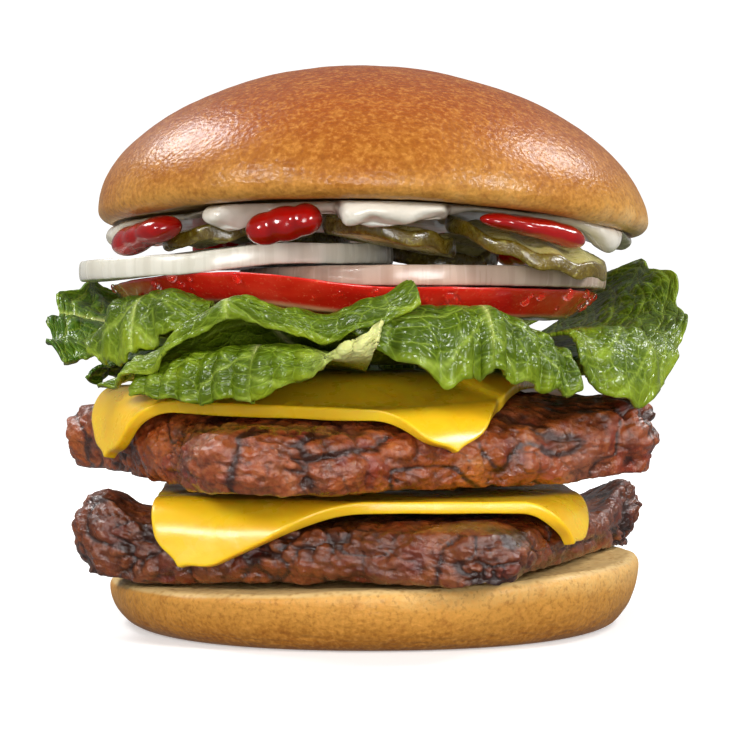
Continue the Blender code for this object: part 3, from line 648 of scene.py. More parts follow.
def rounded_square(half, corner, steps):
    """Points at equal steps round a square with round corners, and the way out at each."""
    straight = 2.0 * (half - corner)
    arc = 0.5 * math.pi * corner
    run = np.linspace(0.0, 4.0 * (straight + arc), steps, endpoint=False)
    side = np.floor(run / (straight + arc))
    along = run - side * (straight + arc)
    bend = np.clip((along - straight) / arc, 0.0, 1.0) * math.pi / 2
    x = np.full(steps, half - corner) + corner * np.cos(bend)
    y = np.minimum(along, straight) - straight / 2 + corner * np.sin(bend)
    turn = side * math.pi / 2
    points = np.stack([x * np.cos(turn) - y * np.sin(turn), x * np.sin(turn) + y * np.cos(turn)], -1)
    out = np.stack([np.cos(bend + turn), np.sin(bend + turn)], -1)
    return points, out


def turned_about_z(points, angle):
    x, y = points[..., 0], points[..., 1]
    c, s = math.cos(angle), math.sin(angle)
    return np.stack([x * c - y * s, x * s + y * c], -1)


def lower_patty_base(x, y):
    past = smooth_step(np.abs(x), 48 * MM, 62 * MM)
    front = smooth_step(-y, 52 * MM, 62 * MM)
    return heel_top(x, y) + GAP - np.sign(x) * 1.8 * MM * past - 1.2 * MM * front


def lower_patty_top(x, y):
    return 26.2 * MM + 5.6 * MM * smooth_step(np.abs(x), 47 * MM, 58 * MM)


def upper_patty_base(x, y):
    curl = np.where(x > 0.0, 2.6 * MM, 1.4 * MM)
    return 30.1 * MM + curl * smooth_step(np.abs(x), 30 * MM, 62 * MM)


def upper_patty_top(x, y):
    dome = 2.8 * MM * smooth_step(np.hypot(x, y), 26 * MM, 52 * MM)
    front_fall = 3.8 * MM * smooth_step(-y, 18 * MM, 50 * MM)
    end_rise = 3.6 * MM * smooth_step(x, 34 * MM, 60 * MM)
    return 50.8 * MM - dome - front_fall + end_rise


LOWER_PATTY = dict(half=51.2 * MM, turn=math.radians(-22.4), centre=(-0.4 * MM, 0.0),
                   base=lower_patty_base, top=lower_patty_top)
UPPER_PATTY = dict(half=52.0 * MM, turn=math.radians(25.0), centre=(-4.5 * MM, 0.0),
                   base=upper_patty_base, top=upper_patty_top)


def meat_relief(points, seed):
    """How far the meat stands out at each point, how much painted shade falls in it as a crevice, and what
    tone it is.
    """
    bent = warp(points, 8 * MM, 2.6 * MM, seed)
    near, far, own = cells(bent * np.array([1.0, 1.0, 1.25]), 5.6 * MM, seed)
    torn = smooth_step(soft_noise(points, 12 * MM, seed + 9), -0.15, 0.55)
    crack = smooth_step(far - near, 0.26, 0.0) * (0.25 + 0.75 * torn)
    strand = warp(points, 3 * MM, 1.0 * MM, seed + 3)
    near_small, far_small, own_small = cells(strand * np.array([1.0, 1.0, 1.2]), 2.3 * MM, seed + 7)
    crack_small = smooth_step(far_small - near_small, 0.30, 0.0)
    # Creased noise makes round lumps that meet in narrow valleys.
    lump = np.abs(soft_noise(bent, 8 * MM, seed + 60))
    lump_small = np.abs(soft_noise(strand, 3.6 * MM, seed + 63))
    height = 0.75 * MM * soft_noise(points, 17 * MM, seed + 40) + 2.0 * MM * (lump - 0.35)
    height += 0.45 * MM * layered_noise(points, 7 * MM, 2, seed + 44) + 0.9 * MM * (lump_small - 0.35)
    height += MM * (0.50 + 0.50 * torn) * ((own - 0.5) - 0.9 * near**2)
    height += MM * (0.30 + 0.30 * torn) * ((own_small - 0.5) - 0.8 * near_small)
    height -= 1.1 * MM * crack + 0.42 * MM * crack_small * (0.4 + 0.6 * torn)
    height += 0.15 * MM * layered_noise(points, 1.4 * MM, 2, seed + 20)
    # Valleys and cracks are marked for painted shade, which the material lays over them as near-black.
    valley = 0.8 * smooth_step(lump, 0.14, 0.0) + 0.45 * smooth_step(lump_small, 0.12, 0.0)
    cavity = np.clip(0.70 * crack + 0.35 * crack_small * (0.4 + 0.6 * torn) + valley, 0.0, 1.0)
    return height, cavity, 0.5 * own + 0.5 * own_small


def patty(name, node, material, rule, seed):
    """A pressed square of minced meat: rings in from its side to the middle of each face."""
    steps, side_rings, face_rings = 560, 30, 34
    outline, out = rounded_square(rule["half"], PATTY_CORNER, steps)
    level = np.linspace(1.0, -1.0, side_rings)  # 1 at the top of the side and -1 at its base
    draw_in = PATTY_EDGE * (1.0 - np.sqrt(1.0 - (0.85 * level) ** 2))
    side = outline[None] - out[None] * draw_in[:, None, None]
    shares = (np.arange(1, face_rings) / face_rings)[:, None, None] ** 0.8
    plan = np.concatenate([side[0] * shares, side, side[-1] * shares[::-1]])
    level = np.concatenate([np.ones(face_rings - 1), level, -np.ones(face_rings - 1)])[:, None]
    inset = -rounded_square_distance(plan[..., 0], plan[..., 1], rule["half"], PATTY_CORNER)
    rim = smooth_step(inset, 0.22 * rule["half"], 0.0)
    place = turned_about_z(plan, rule["turn"]) + np.array(rule["centre"])
    x, y = place[..., 0], place[..., 1]
    low, high = rule["base"](x, y), rule["top"](x, y)
    inward = PATTY_EDGE * np.where(level > 0.0, 0.30, 0.10) * rim * level
    z = low + (high - low) * (level + 1.0) / 2.0 - inward
    mesh = solid_from_rings(name, np.stack([x, y, z], -1))
    points, normals = points_of(mesh), normals_of(mesh)
    height, cavity, tone = meat_relief(points, seed)
    # The faces carry less relief than the sides, so that the cheese and the bun lie flat on them.
    sideways = 0.45 + 0.55 * smooth_step(1.0 - np.abs(normals[:, 2]), 0.05, 0.5)
    push_out(mesh, height * sideways)
    # The crevices are kept for the material, which paints shade into them.
    store(mesh, "cavity", cavity)
    store(mesh, "tone", tone)
    return add_piece(name, mesh, material, node)


# Cheese -----------------------------------------------------------------------------------

CHEESE_HALF = 44.4 * MM
CHEESE_THICKNESS = 2.6 * MM
CHEESE_FALL = math.radians(80.0)
CHEESE_CORNER = 0.060


def cheese(name, node, material, turn, centre, rule):
    """A square slice laid on a patty and turned by degrees. What stands out past the patty bends
    down its side."""
    count = 150
    side = np.linspace(-CHEESE_HALF, CHEESE_HALF, count)
    u, v = np.meshgrid(side, side)
    corner = smooth_step(np.minimum(np.abs(u), np.abs(v)) / CHEESE_HALF, 0.75, 1.0)
    flat = np.stack([u, v], -1) * (1.0 - CHEESE_CORNER * corner)[..., None]
    plan = turned_about_z(flat, math.radians(turn)) + np.array(centre)
    patty_centre = np.array(rule["centre"])
    local = turned_about_z(plan - patty_centre, -rule["turn"])
    half = rule["half"] + 4 * GAP
    bend = PATTY_EDGE + GAP

    def distance(x, y):
        return rounded_square_distance(x, y, half, PATTY_CORNER)

    step = 0.2 * MM
    past = distance(local[..., 0], local[..., 1]) + bend
    out = np.stack([
        distance(local[..., 0] + step, local[..., 1]) - distance(local[..., 0] - step, local[..., 1]),
        distance(local[..., 0], local[..., 1] + step) - distance(local[..., 0], local[..., 1] - step),
    ], -1)
    out /= np.maximum(np.linalg.norm(out, axis=-1, keepdims=True), 1e-9)
    over = np.maximum(past, 0.0)
    angle = np.minimum(over / bend, CHEESE_FALL)
    rest = np.maximum(0.0, over - bend * CHEESE_FALL)
    across = bend * np.sin(angle) + rest * math.cos(CHEESE_FALL)
    down = bend * (1.0 - np.cos(angle)) + rest * math.sin(CHEESE_FALL)
    edge = local - out * over[..., None]
    moved = turned_about_z(edge + out * across[..., None], rule["turn"]) + patty_centre
    start = turned_about_z(edge, rule["turn"]) + patty_centre
    height = rule["top"](start[..., 0], start[..., 1]) + 2 * GAP - down
    points = np.stack([moved[..., 0], moved[..., 1], height], -1).reshape(-1, 3)
    mesh = mesh_from(name, points, [face[::-1] for face in quads_between(count, count, False)])
    mesh = bake(
        mesh,
        ("SOLIDIFY", dict(thickness=CHEESE_THICKNESS, offset=1.0)),
        ("BEVEL", dict(width=0.9 * MM, segments=4, limit_method="ANGLE", angle_limit=math.radians(50))),
        ("SMOOTH", dict(factor=0.5, iterations=6)),
    )
    push_out(mesh, 0.25 * MM * layered_noise(points_of(mesh), 15 * MM, 2, 61))
    return add_piece(name, mesh, material, node)


# Lettuce ----------------------------------------------------------------------------------

LEAF_THICKNESS = 0.9 * MM
LEAF_ROOT = 14.0  # mm from the burger's middle to where each leaf starts
LEAF_LYING = 42.0  # mm from the middle over which a leaf lies flat
LEAF_REACH = 60.0  # mm along a leaf, and the radius at which its width is measured
LEAF_SLACK = 1.2 * MM  # how far a leaf's relief may pass its solid's box

# Each leaf lies flat at the height level (mm) and is then drawn through its ribs. A rib is its
# direction in degrees seen from above, with -90 at the front, the radius and height (mm) that
# it bends towards, and the radius and height of its edge. Frill is the size (mm) and number of
# the edge's waves, pleat the depth of its folds and crinkle the height of its blisters.
LEAVES = {
    "lettuce_left": dict(level=59.8, frill=(0.8, 5), pleat=0.0, crinkle=0.9, look="deep", ribs=(
        (153, 64, 62, 64, 71.0),
        (165, 66, 66, 67, 73.0),
        (177, 66, 66, 70, 68.0),
        (188, 66, 62, 70, 60.5),
        (198, 60, 60, 67, 56.5),
    )),
    "lettuce_front_left": dict(level=58.6, frill=(0.5, 4), pleat=0.0, crinkle=0.9, look="bright", ribs=(
        (200, 62, 68, 61, 58.0),
        (208, 64, 82, 61, 56.5),
        (216, 63, 84, 60, 58.0),
        (224, 61, 81, 57, 62.0),
        (232, 56, 72, 52, 65.0),
    )),
    "lettuce_front": dict(level=57.2, frill=(0.5, 6), pleat=0.0, crinkle=0.8, look="bright", ribs=(
        (211, 60, 54, 63, 52.0),
        (226, 62, 64, 63, 56.0),
        (243, 63, 77, 61, 65.0),
        (260, 62, 72, 60, 61.5),
        (278, 61, 79, 58, 67.0),
    )),
    "lettuce_front_low": dict(level=54.9, frill=(0.4, 5), pleat=0.7, crinkle=0.7, look="bright",
                              pale=(0.66, 0.92), ribs=(
        (221, 62, 57, 62, 50.5),
        (234, 65, 64, 61, 49.5),
        (247, 65, 66, 61, 50.5),
        (260, 66, 62, 62, 54.5),
        (271, 68, 53, 63, 63.0),
    )),
    "lettuce_front_right": dict(level=56.0, frill=(0.7, 6), pleat=0.3, crinkle=0.9, look="middle", ribs=(
        (267, 58, 73, 57, 61.5),
        (283, 63, 80, 61, 53.0),
        (292, 64, 79, 61, 54.5),
        (301, 65, 75, 62, 51.5),
        (309, 62, 66, 63, 51.0),
    )),
    "lettuce_right": dict(level=57.4, frill=(0.8, 7), pleat=0.0, crinkle=1.0, look="middle", ribs=(
        (-47, 58, 70, 60, 56.0),
        (-35, 64, 76, 65, 49.0),
        (-20, 64, 72, 66, 55.0),
        (-3, 62, 66, 68, 67.0),
        (14, 60, 68, 66, 77.0),
        (32, 60, 70, 61, 76.5),
    )),
    "lettuce_back_right": dict(level=55.4, frill=(0.8, 8), pleat=0.3, crinkle=0.9, look="deep", ribs=(
        (-2, 62, 60, 62, 56.0),
        (15, 65, 66, 63, 51.5),
        (32, 65, 70, 63, 54.0),
        (48, 65, 67, 63, 51.0),
        (64, 64, 66, 61, 53.0),
        (80, 60, 58, 60, 51.0),
    )),
    "lettuce_back": dict(level=57.4, frill=(0.7, 7), pleat=0.0, crinkle=0.9, look="bright", ribs=(
        (35, 60, 72, 60, 70.0),
        (59, 63, 78, 61, 63.5),
        (78, 65, 78, 64, 53.5),
        (97, 64, 80, 64, 53.0),
        (116, 63, 76, 62, 63.0),
        (135, 60, 72, 60, 60.0),
    )),
    "lettuce_back_left": dict(level=55.0, frill=(0.8, 8), pleat=0.3, crinkle=0.9, look="deep", ribs=(
        (86, 62, 58, 61, 51.5),
        (103, 65, 67, 63, 50.5),
        (120, 65, 68, 62, 53.0),
        (137, 66, 66, 64, 50.5),
        (154, 65, 67, 63, 53.0),
        (172, 62, 59, 62, 52.0),
    )),
}


def through(values, t):
    """A smooth curve through equally spaced values, for each t from 0 to 1."""
    last = len(values) - 1
    padded = np.array([2 * values[0] - values[1], *values, 2 * values[-1] - values[-2]], float)
    i = np.minimum((t * last).astype(int), last - 1)
    f = t * last - i
    before, a, b, after = padded[i], padded[i + 1], padded[i + 2], padded[i + 3]
    ends = (2 * f**3 - 3 * f**2 + 1) * a + (3 * f**2 - 2 * f**3) * b
    return ends + (f**3 - 2 * f**2 + f) * (b - before) / 2 + (f**3 - f**2) * (after - a) / 2


def bezier(a, b, c, d, t):
    s = 1.0 - t
    return s * s * s * a + 3 * s * s * t * b + 3 * s * t * t * c + t * t * t * d


def leaf_points(leaf, across, along, seed):
    """Points of the leaf in mm, from their shares across (round the burger) and along (outwards)."""
    angle, bend_r, bend_z, edge_r, edge_z = (through(column, across) for column in zip(*leaf["ribs"]))
    middle = leaf["ribs"][len(leaf["ribs"]) // 2][0]
    angle = middle + (angle - middle) * (0.80 + 0.20 * along)
    size, waves = leaf["frill"]
    wave = 2 * math.pi * waves * across
    frill = size * along**3
    pleat = leaf["pleat"] * along**2 * np.sin(2.6 * wave)
    flat = np.stack([across * 9.0, along * 2.0, np.full_like(across, seed)], -1)
    wobble = layered_noise(flat, 0.8, 3, seed) * along**5
    radius = bezier(LEAF_ROOT, LEAF_LYING, bend_r, edge_r, along) + frill * np.cos(wave) + pleat
    height = bezier(leaf["level"], leaf["level"], bend_z, edge_z, along) + frill * np.sin(wave + 1.0)
    turn = np.radians(angle)
    radius = radius + 0.5 * wobble
    return np.stack([radius * np.cos(turn), radius * np.sin(turn), height + 0.8 * wobble], -1)


def veins(u, v, width, length, seed):
    """How much each point of a leaf lies on a vein, from 0 to 1, and how much on its midrib."""
    flat = np.stack([u, v, np.full_like(u, 3.0 * seed)], -1)
    u = u + 1.8 * soft_noise(flat, 16.0, seed)
    v = v + 1.8 * soft_noise(flat, 14.0, seed + 5)
    out = np.clip(1.0 - v / length, 0.0, 1.0)
    side = np.abs(u - width / 2)
    midrib = np.exp(-((side / (0.45 + 1.5 * out)) ** 2))
    spacing = 12.0
    left = np.where(u < width / 2, 0.0, 0.45)
    phase = (v - 0.85 * side) / spacing + left
    to_line = np.abs(phase - np.round(phase)) * spacing * 0.75
    branch_width = 0.22 + 0.40 * np.exp(-side / 14.0)
    branch = 0.75 * np.exp(-((to_line / branch_width) ** 2))
    return np.maximum(midrib, branch), midrib


def lettuce_leaf(node, leaf, materials, seed):
    columns, rows = 190, 76
    across, along = np.meshgrid(np.linspace(0.0, 1.0, columns), np.linspace(0.0, 1.0, rows) ** 0.8)
    points = leaf_points(leaf, across, along, seed)
    directions = [rib[0] for rib in leaf["ribs"]]
    width = math.radians(max(directions) - min(directions)) * LEAF_REACH
    length = LEAF_REACH
    u, v = across * width, along * length
    vein, midrib = veins(u, v, width, length, seed)
    rib_start, rib_end = leaf.get("pale", (2.0, 3.0))
    rib = smooth_step(across, rib_start, rib_end) * smooth_step(along, 0.45, 0.8)
    faces = quads_between(rows, columns, False)
    mesh = mesh_from(node, points.reshape(-1, 3) * MM, faces)
    flat = np.stack([u, v, np.full_like(u, 17.0 * seed)], -1).reshape(-1, 3)
    near, far, own = cells(warp(flat, 6.0, 1.5, seed), 5.5, seed)
    blister = smooth_step(far - near, 0.0, 0.6) * (0.6 + 0.8 * own)
    crumple = layered_noise(flat, 9.0, 2, seed + 50)
    fold = layered_noise(flat * np.array([1.0, 0.28, 1.0]), 11.0, 2, seed + 60)
    shown = smooth_step(along.ravel(), 0.40, 0.80)
    on_vein = vein.ravel()
    relief = 0.55 * blister * (1.0 - on_vein) + 0.40 * crumple + 1.35 * fold - 0.28 * on_vein
    relief *= leaf["crinkle"] * MM * shown
    push_out(mesh, relief)
    store(mesh, "vein", np.maximum(0.8 * vein, 0.9 * rib))
    store(mesh, "heart", np.maximum(midrib * smooth_step(along, 1.1, 0.5), rib))
    # The tone is partly painted light: it is lighter towards the leaf's outer edge, a painted highlight along
    # the frill, and lighter on raised blisters and darker in the creases between them, which is painted
    # shade. The rest of it wanders at random.
    edge = np.exp(-((1.0 - along) * length / 2.2) ** 2)
    tone = 0.42 + 0.34 * layered_noise(flat, 20.0, 2, seed + 80).reshape(along.shape)
    tone = tone + 0.55 * edge + 0.24 * (blister.reshape(along.shape) - 0.5)
    store(mesh, "tone", np.clip(tone, 0.0, 1.0))
    store_vector(mesh, "flat", flat * MM)
    mesh = bake(mesh, ("SOLIDIFY", dict(thickness=LEAF_THICKNESS * 0.8, offset=0.0)))
    return add_piece(node + "_leaf", mesh, materials[leaf["look"]], node, LEAF_SLACK)


HEART_RADIUS = 29.0
HEART_HEIGHT = 63.0


def lettuce_heart(material):
    """The folded leaf in the middle, under the tomato."""
    share, angle = np.meshgrid(np.linspace(0.01, 1.0, 50), np.linspace(0, 2 * math.pi, 160, endpoint=False))
    share, angle = share.T, angle.T
    x, y = HEART_RADIUS * share * np.cos(angle), HEART_RADIUS * share * np.sin(angle)
    z = HEART_HEIGHT + 1.2 * np.sin(x / 9.0 + 0.6) * np.cos(y / 11.0)
    top = np.stack([x, y, z], -1)
    top[..., 2] += 0.4 * layered_noise(top, 7.0, 3, 5) * share
    below = top[::-1].copy()
    below[..., 2] -= 0.7
    mesh = solid_from_rings("lettuce_heart", np.concatenate([top, below]) * MM)
    points = points_of(mesh)
    vein, midrib = veins(points[:, 0] / MM + 33.0, points[:, 1] / MM + 33.0, 66.0, 66.0, 4)
    store(mesh, "vein", vein)
    store(mesh, "heart", midrib)
    store(mesh, "tone", 0.5 + 0.3 * soft_noise(points, 9 * MM, 2))
    store_vector(mesh, "flat", points)
    return add_piece("lettuce_heart_leaf", mesh, material, "lettuce_heart")


# Tomato, onion and pickles ----------------------------------------------------------------

TOMATO_RADIUS = 53.4 * MM
TOMATO_THICKNESS = 6.0 * MM
TOMATO_CENTRE = (-4.0 * MM, 1.0 * MM)
TOMATO_TOP = 71.2 * MM
TOMATO_HUMP = 3.1 * MM
ONION_THICKNESS = 4.2 * MM
ONION_RADIUS = 39.2 * MM
RIGHT_ONION_CENTRE = (10.5 * MM, -4.0 * MM)
LEFT_ONION_RADIUS = 33.2 * MM
LEFT_ONION_CENTRE = (-29.0 * MM, -8.8 * MM)
PICKLE_THICKNESS = 3.2 * MM
CRINKLE_LENGTH = 8.5 * MM
CRINKLE_HEIGHT = 0.5 * MM


def slab(radius, thickness, rim_depth, face_rings, rim_rings, steps):
    """Rings of a round slice with a rim that stands out at half height, and for each ring its
    share of the way up the slice and whether it is on the rim."""
    angle = np.linspace(0.0, math.pi, rim_rings)
    face = np.linspace(0.4 * MM, radius - rim_depth, face_rings)[:-1]
    top = np.stack([face, np.full(len(face), thickness)], -1)
    bulge = radius - rim_depth * (1.0 - np.sin(angle) ** 0.6)
    rim = np.stack([bulge, thickness / 2 * (1.0 + np.cos(angle))], -1)
    base = np.stack([face[::-1], np.zeros(len(face))], -1)
    on_rim = np.concatenate([np.zeros(len(face)), np.ones(rim_rings), np.zeros(len(face))])
    return turned(np.vstack([top, rim, base]), steps), on_rim


def per_vertex(ring_values, steps):
    """One value for each ring, spread over its points and the two points that close the mesh."""
    return np.append(np.repeat(ring_values, steps), [ring_values[0], ring_values[-1]])


def laid(rings, thickness, centre, bed, oval, taper=0.0):
    """The rings of a slice, made a little oval and laid on the height bed(x, y)."""
    angle = np.arctan2(rings[..., 1], rings[..., 0])
    swell = 1.0 + oval * np.cos(2 * angle + 0.5) + 0.4 * oval * np.cos(3 * angle)
    draw_in = 1.0 - taper * (1.0 - rings[..., 2] / thickness)
    x = centre[0] + rings[..., 0] * swell * draw_in
    y = centre[1] + rings[..., 1] * swell * draw_in
    return np.stack([x, y, bed(x, y) + rings[..., 2]], -1)


def tomato_top(x, y):
    bump = smooth_step(x, -75 * MM, -35 * MM) - smooth_step(x, -28 * MM, 4 * MM)
    return TOMATO_TOP + TOMATO_HUMP * bump * smooth_step(np.hypot(x, y), 38 * MM, 48 * MM)


def tomato_base(x, y):
    return tomato_top(x, y) - TOMATO_THICKNESS


def tomato_slice(material):
    steps = 300
    rings, on_rim = slab(TOMATO_RADIUS, TOMATO_THICKNESS, 1.6 * MM, 40, 26, steps)
    share_up = rings[..., 2] / TOMATO_THICKNESS
    rings = laid(rings, TOMATO_THICKNESS, TOMATO_CENTRE, tomato_base, 0.008, 0.12)
    mesh = solid_from_rings("tomato", rings)
    points = points_of(mesh)
    push_out(mesh, 0.18 * MM * layered_noise(points, 8 * MM, 3, 71))
    rim = per_vertex(on_rim, steps)
    x, y = points[:, 0] - TOMATO_CENTRE[0], points[:, 1] - TOMATO_CENTRE[1]
    radius = np.hypot(x, y) / TOMATO_RADIUS
    # Six seed chambers, which are softer and yellower than the walls between them.
    chamber = smooth_step(np.cos(6 * np.arctan2(y, x)), -0.4, 0.3)
    chamber *= smooth_step(radius, 0.25, 0.35) * smooth_step(radius, 0.86, 0.78)
    store(mesh, "wedge", chamber)
    store(mesh, "rim", rim)
    up = np.append(share_up.ravel(), [1.0, 0.0])
    # A pale band along the bottom of the rim.
    store(mesh, "peel", rim * smooth_step(up, 0.16, 0.02))
    return add_piece("tomato", mesh, material, "tomato_slice")


def right_onion_bed(x, y):
    return np.full_like(x, TOMATO_TOP + GAP)


def left_onion_bed(x, y):
    climb = 3.5 * MM * smooth_step(x + 0.35 * (y + 42 * MM), -51 * MM, -12 * MM)
    front = smooth_step(-y, 22 * MM, 36 * MM) * smooth_step(x, -44 * MM, -36 * MM)
    return 73.2 * MM + climb - 0.5 * MM * front


def onion_slice(node, radius, centre, bed, material, seed):
    steps = 260
    rings, on_rim = slab(radius, ONION_THICKNESS, 0.8 * MM, 44, 16, steps)
    up = np.append(rings[..., 2].ravel(), [ONION_THICKNESS, 0.0])
    rings = laid(rings, ONION_THICKNESS, centre, bed, 0.01)
    mesh = solid_from_rings(node, rings)
    points = points_of(mesh)
    x, y = points[:, 0] - centre[0], points[:, 1] - centre[1]
    from_middle, angle = np.hypot(x, y), np.arctan2(y, x)
    layer = from_middle / (4.6 * MM) + 0.25 * np.sin(2 * angle + seed)
    groove = smooth_step(np.abs(layer - np.round(layer)), 0.07, 0.0) * (1.0 - per_vertex(on_rim, steps))
    ripple = 0.06 * MM * soft_noise(np.stack([angle * radius, up * 0.1, up * 0], -1), 2.2 * MM, seed)
    push_out(mesh, ripple - 0.35 * MM * groove)
    store(mesh, "ring", 0.6 * groove)
    store_vector(mesh, "flat", np.stack([angle * radius, from_middle, up], -1))
    return add_piece(node + "_ring", mesh, material, node)


PICKLES = {
    "pickle_left": dict(radius=13.0, centre=(-30.4, -22.0, 81.1), lean=(0.12, 0.02), turn=0.3, sag=0.0),
    "pickle_middle": dict(radius=13.8, centre=(3.4, -32.5, 80.4), lean=(-0.19, 0.0), turn=1.2, sag=0.0),
    "pickle_right": dict(radius=16.6, centre=(31.2, -31.6, 78.8), lean=(-0.24, 0.11), turn=0.2, sag=0.20),
    "pickle_back_right": dict(radius=13.0, centre=(16.0, 23.6, 79.6), lean=(-0.06, 0.235), turn=0.8, sag=0.0),
    "pickle_back_left": dict(radius=13.0, centre=(-18.0, 30.0, 81.7), lean=(-0.02, -0.05), turn=1.8, sag=0.0),
}


def pickle_chip(node, chip, material, seed):
    """A crinkle-cut chip. Its centre is the middle of its base, and its leans are slopes."""
    steps = 140
    radius = chip["radius"] * MM
    rings, on_rim = slab(radius, PICKLE_THICKNESS, 0.7 * MM, 26, 14, steps)
    crinkle = CRINKLE_HEIGHT * np.sin(2 * math.pi * rings[..., 0] / CRINKLE_LENGTH)
    plan = turned_about_z(rings, chip["turn"])
    centre = np.array(chip["centre"]) * MM
    x, y = centre[0] + plan[..., 0], centre[1] + plan[..., 1]
    off_onion = np.hypot(x - RIGHT_ONION_CENTRE[0], y - RIGHT_ONION_CENTRE[1]) - ONION_RADIUS
    slope = chip["lean"][0] * plan[..., 0] + chip["lean"][1] * plan[..., 1]
    z = centre[2] + rings[..., 2] + crinkle + slope - chip["sag"] * np.maximum(0.0, off_onion)
    mesh = solid_from_rings(node, np.stack([x, y, z], -1))
    points = points_of(mesh)
    near, _, _ = cells(points, 1.5 * MM, seed)
    rim = per_vertex(on_rim, steps)
    warts = 0.16 * MM * (0.5 - near) * rim + 0.14 * MM * layered_noise(points, 3 * MM, 2, seed + 3)
    push_out(mesh, warts)
    from_middle = np.hypot(points[:, 0] - centre[0], points[:, 1] - centre[1]) / radius
    seeds = smooth_step(0.42 - cells(points * np.array([1, 1, 0.2]), 2.3 * MM, seed + 8)[0], 0.0, 0.12)
    store(mesh, "seed", seeds * smooth_step(from_middle, 0.72, 0.55) * (1.0 - rim))
    store(mesh, "rim", np.maximum(rim, smooth_step(from_middle, 0.90, 0.97)))
    return add_piece(node + "_chip", mesh, material, node)


# Sauces -----------------------------------------------------------------------------------

SAUCE_THICKNESS = 1.4 * MM
MAYONNAISE_RADIUS = 54.5 * MM

# Each dollop of ketchup: its direction in degrees, its distance from the middle, its width,
# depth, height and drop under the crown (mm), how much thicker it is at one end, and its lobes,
# each a place across and up, from -1 to 1, and a size.
KETCHUP = {
    "ketchup_left": dict(angle=-147, out=55.4, width=25.0, depth=8.6, height=6.2, drop=0.0, slant=-0.10,
                         lobes=((-0.55, -0.15, 0.62), (-0.05, 0.10, 0.50), (0.50, 0.30, 0.55))),
    "ketchup_middle": dict(angle=-109, out=52.5, width=16.0, depth=9.0, height=7.0, drop=0.0, slant=0.0,
                           lobes=((-0.50, -0.35, 0.60), (0.05, 0.05, 0.70), (0.60, 0.35, 0.50))),
    "ketchup_right": dict(angle=-54, out=55.2, width=27.0, depth=7.6, height=5.2, drop=0.0, slant=0.24,
                          lobes=((-0.65, 0.20, 0.42), (-0.20, 0.05, 0.50),
                                 (0.22, 0.0, 0.52), (0.62, -0.2, 0.46))),
    "ketchup_back_right": dict(angle=48, out=54.0, width=18.0, depth=9.0, height=6.0, drop=0.2, slant=0.1,
                               lobes=((-0.45, 0.0, 0.60), (0.15, 0.1, 0.55), (0.6, -0.1, 0.45))),
    "ketchup_back_left": dict(angle=130, out=54.5, width=18.0, depth=9.0, height=6.0, drop=0.2, slant=0.0,
                              lobes=((-0.55, 0.1, 0.50), (0.0, -0.1, 0.60), (0.55, 0.1, 0.50))),
}

# Where the mayonnaise runs over the edge: direction, spread in degrees, and how far down in mm.
MAYONNAISE_RUNS = ((-178, 7, 5.0), (-122, 9, 3.4), (-92, 12, 4.5), (-74, 9, 1.5), (-26, 7, 3.6),
                   (3, 10, 3.4), (90, 20, 4.0), (155, 12, 3.5))


def turn_between(a, b):
    return (a - b + math.pi) % (2 * math.pi) - math.pi


def mayonnaise(material):
    """A spread layer under the crown. Its edge runs down here and there, and draws back at the ketchup."""
    steps = 420
    share = np.linspace(0.01, 0.945, 60)
    bulge = np.linspace(0.0, math.pi, 20)
    share = np.concatenate([share, 0.945 + 0.055 * np.sin(bulge), share[::-1]])
    up = np.concatenate([np.ones(60), 0.5 + 0.5 * np.cos(bulge), np.zeros(60)])
    angle = np.linspace(0.0, 2 * math.pi, steps, endpoint=False)[None]
    share, up = share[:, None], up[:, None]
    reach = np.ones_like(angle)
    for dollop in KETCHUP.values():
        half = 0.5 * dollop["width"] / dollop["out"]
        near = np.abs(turn_between(angle, math.radians(dollop["angle"])))
        reach = reach - 0.22 * (1.0 - smooth_step(near, half * 1.0, half * 1.6))
    run = np.zeros_like(angle)
    for direction, spread_angle, depth in MAYONNAISE_RUNS:
        near = turn_between(angle, math.radians(direction)) / math.radians(spread_angle)
        run = run + depth * MM * np.exp(-near * near)
    edge = smooth_step(share, 0.7, 1.0)
    r = MAYONNAISE_RADIUS * share * (reach + 12.0 * run * edge)
    x, y = r * np.cos(angle), r * np.sin(angle)
    flat = np.stack([x, y, np.zeros_like(x)], -1)
    lumps = 1.0 + 0.35 * layered_noise(flat, 7 * MM, 2, 33) * smooth_step(share, 0.8, 0.95)
    thickness = (SAUCE_THICKNESS + run * smooth_step(share, 0.84, 0.92)) * lumps
    z = crown_base(x, y) - GAP - thickness * (1.0 - up)
    mesh = solid_from_rings("mayonnaise", np.stack(np.broadcast_arrays(x, y, z), -1))
    return add_piece("mayonnaise_spread", mesh, material, "mayonnaise")


